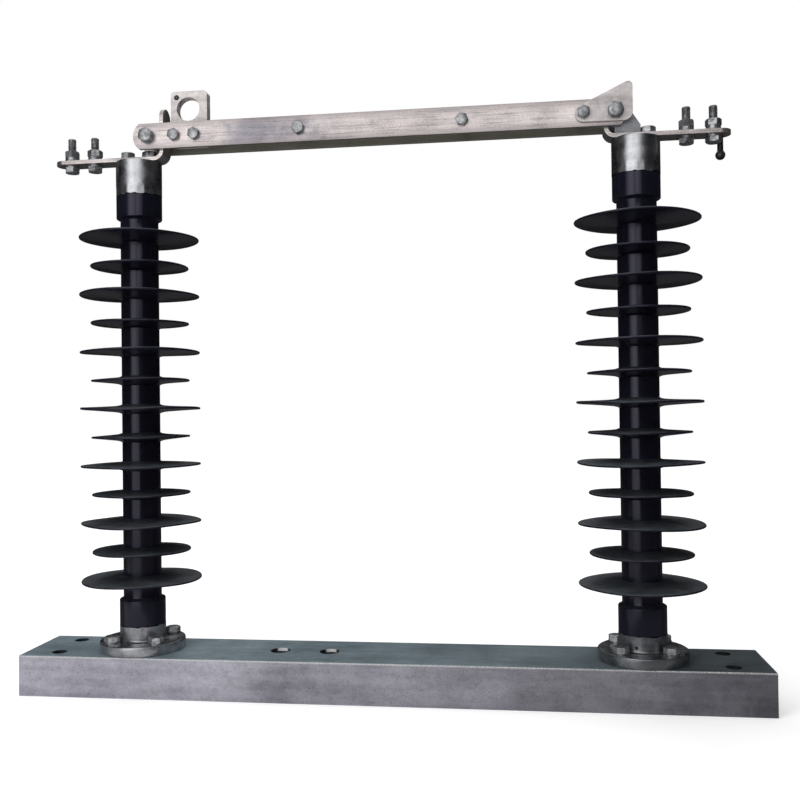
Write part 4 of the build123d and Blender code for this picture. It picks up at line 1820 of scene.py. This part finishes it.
def upright_sheet(path: tuple[Spot, ...], low: float, high: float) -> Part:
    """A wall along a path: face i stands on points i and i + 1 of the path, from low to high.

    Args:
        path: the points (x, y) that the wall stands on.
        low: the height of its foot.
        high: the height of its head.

    Returns:
        The points and faces.
    """
    count = len(path)
    foot = np.column_stack([path, np.full(count, low)])
    head = np.column_stack([path, np.full(count, high)])
    return np.concatenate([foot, head]), [[i, i + 1, count + i + 1, count + i] for i in range(count - 1)]


def stage_sheet(name: str, part: Part, material: bpy.types.Material) -> bpy.types.Object:
    """Makes a sheet that belongs to the studio and is no piece of the switch.

    Args:
        name: the object's name.
        part: its points and faces.
        material: its material.

    Returns:
        The object, at the origin.
    """
    mesh = bpy.data.meshes.new(name)
    mesh.from_pydata(part[0].tolist(), [], part[1])
    mesh.materials.append(material)
    staged = in_scene(name, mesh)
    return staged


def direct_view(tree: bpy.types.NodeTree) -> bpy.types.Node:
    """Is 1 for a ray from the camera, off a mirror or through glass, and 0 for the rest.

    Args:
        tree: the node tree.

    Returns:
        The node that gives the 1 or 0.
    """
    ray = add_node(tree, Kind.RAY)
    seen = add_node(tree, Kind.MAXIMUM, {0: ray.outputs["Is Camera Ray"], 1: ray.outputs["Is Glossy Ray"]})
    return add_node(tree, Kind.MAXIMUM, {0: seen, 1: ray.outputs["Is Transmission Ray"]})


@dataclass(frozen=True)
class Screen:
    """A screen of matt cloth, which only mirrors see."""

    name: str
    grey: str
    part: Part

    def put_up(self) -> None:
        """Makes the cloth and hides it from all but mirrors."""
        material = bpy.data.materials.new(self.name + "_cloth")
        tree = clear_tree(material)
        matt = add_node(tree, Kind.MATT, {"Color": linear(self.grey)})
        add_node(tree, Kind.SURFACE, {"Surface": matt})
        cloth = stage_sheet(self.name, self.part, material)
        cloth.visible_camera = False
        cloth.visible_diffuse = False
        cloth.visible_shadow = False


@dataclass(frozen=True)
class Studio:
    """A plain white floor, white surroundings, soft lamps, and screens that only mirrors see."""

    floor_half: float = 9.0
    floor_below: float = 0.1 * MM
    floor_white: str = "#f2f2f2"
    floor_glow: float = 0.4
    far_glow: float = 0.7
    glow_from: float = 0.7
    glow_to: float = 3.5
    ambient: float = 0.42
    screens: tuple[Screen, ...] = (
        Screen(
            "screen_wall",
            "#2c2c2e",
            upright_sheet(
                (
                    (-1.03, -0.96),
                    (-1.75, 0.2),
                    (-1.9, 2.2),
                    (-1.9, 3.6),
                    (1.9, 3.6),
                    (1.9, 2.0),
                    (1.5, -0.3),
                    (0.72, -1.45),
                ),
                0.5 * MM,
                2.8,
            ),
        ),
        Screen("screen_low", "#2c2c2e", upright_sheet(((0.72, -1.45), (-0.02, -1.52)), 0.5 * MM, 0.62)),
        Screen("screen_front", "#828284", level_sheet((-1.9, -1.5), (1.9, 0.0), 0.5 * MM)),
        Screen("screen_rear", "#525254", level_sheet((-1.9, 0.0), (1.9, 3.6), 0.5 * MM)),
        Screen("screen_glint", "#d4d4d4", level_sheet((-1.3, -1.3), (-0.02, -0.12), 1.0 * MM)),
    )
    lamps: tuple[SoftBox, ...] = (
        SoftBox("window", (-0.85, -1.95, 0.95), (-0.05, 0.0, 0.45), 1.0, 1.5, 4.0, True),
        SoftBox("key", (-1.5, -1.7, 1.4), (-0.2, 0.0, 0.3), 1.4, 1.4, 25.0),
        SoftBox("panel", (0.22, -1.95, 1.15), (0.1, 0.0, 0.6), 0.5, 1.2, 1.3, True),
        SoftBox("back", (-0.6, 2.3, 1.7), (0.0, 0.0, 0.4), 1.6, 1.2, 12.0),
        SoftBox("fill", (1.8, -2.2, 1.2), (0.0, 0.0, 0.4), 1.6, 1.6, 5.0),
        SoftBox("top", (-0.2, 0.3, 2.4), (0.0, 0.0, 0.3), 1.8, 1.2, 12.0),
    )

    def floor_material(self) -> bpy.types.Material:
        """Matt white, with a glow that camera and mirrors see, so it is white but for the shadow.

        Returns:
            The material.
        """
        material = bpy.data.materials.new("floor_white")
        tree = clear_tree(material)
        matt = add_node(tree, Kind.MATT, {"Color": linear(self.floor_white)})
        where = add_node(tree, Kind.COORDINATES)
        away = add_node(tree, Kind.LENGTH, {0: where.outputs["Object"]})
        rise = add_node(
            tree,
            Kind.RAMP,
            {
                "Value": away,
                "From Min": self.glow_from,
                "From Max": self.glow_to,
                "To Min": self.floor_glow,
                "To Max": self.far_glow,
            },
        )
        level = add_node(tree, Kind.MULTIPLY, {0: direct_view(tree), 1: rise})
        glow = add_node(tree, Kind.GLOW, {"Strength": level})
        both = add_node(tree, Kind.BOTH_SHADERS, {0: matt, 1: glow})
        add_node(tree, Kind.SURFACE, {"Surface": both})
        return material

    def light_world(self) -> None:
        """Lights the surroundings: white to camera, mirrors and glass, at the ambient level to the rest."""
        world = bpy.data.worlds.new("surroundings")
        bpy.context.scene.world = world
        tree = clear_tree(world)
        level = add_node(tree, Kind.RAMP, {"Value": direct_view(tree), "To Min": self.ambient})
        sky = add_node(tree, Kind.SKY, {"Color": (1.0, 1.0, 1.0, 1.0), "Strength": level})
        add_node(tree, Kind.SURROUNDINGS, {"Surface": sky})

    def set_up(self) -> None:
        """Lays the floor, puts up the screens, lights everything and sets the plain view of colours."""
        half = self.floor_half
        floor = level_sheet((-half, -half), (half, half), -self.floor_below)
        stage_sheet("floor", floor, self.floor_material())
        for screen in self.screens:
            screen.put_up()
        self.light_world()
        for lamp in self.lamps:
            lamp.hang()
        bpy.context.scene.view_settings.view_transform = "Standard"


def main() -> None:
    """Builds the studio and the switch, piece by piece."""
    logging.basicConfig(level=logging.INFO, format="%(message)s")
    Viewpoint().set_up()
    Studio().set_up()
    finishes = Finishes()
    BaseChannel().build(finishes)
    posts = (
        Post("left", -300 * MM),
        Post("right", 300 * MM, front_corners=(6.0, 9.0), dull=True, vent=True, seed=19),
    )
    for post in posts:
        post.build(finishes)
        Terminal(post.side).build(finishes)
    BallStub().build(finishes)
    Hinge().build(finishes)
    Knife().build(finishes)
    PullRing().build(finishes)


if __name__ == "__main__":
    main()
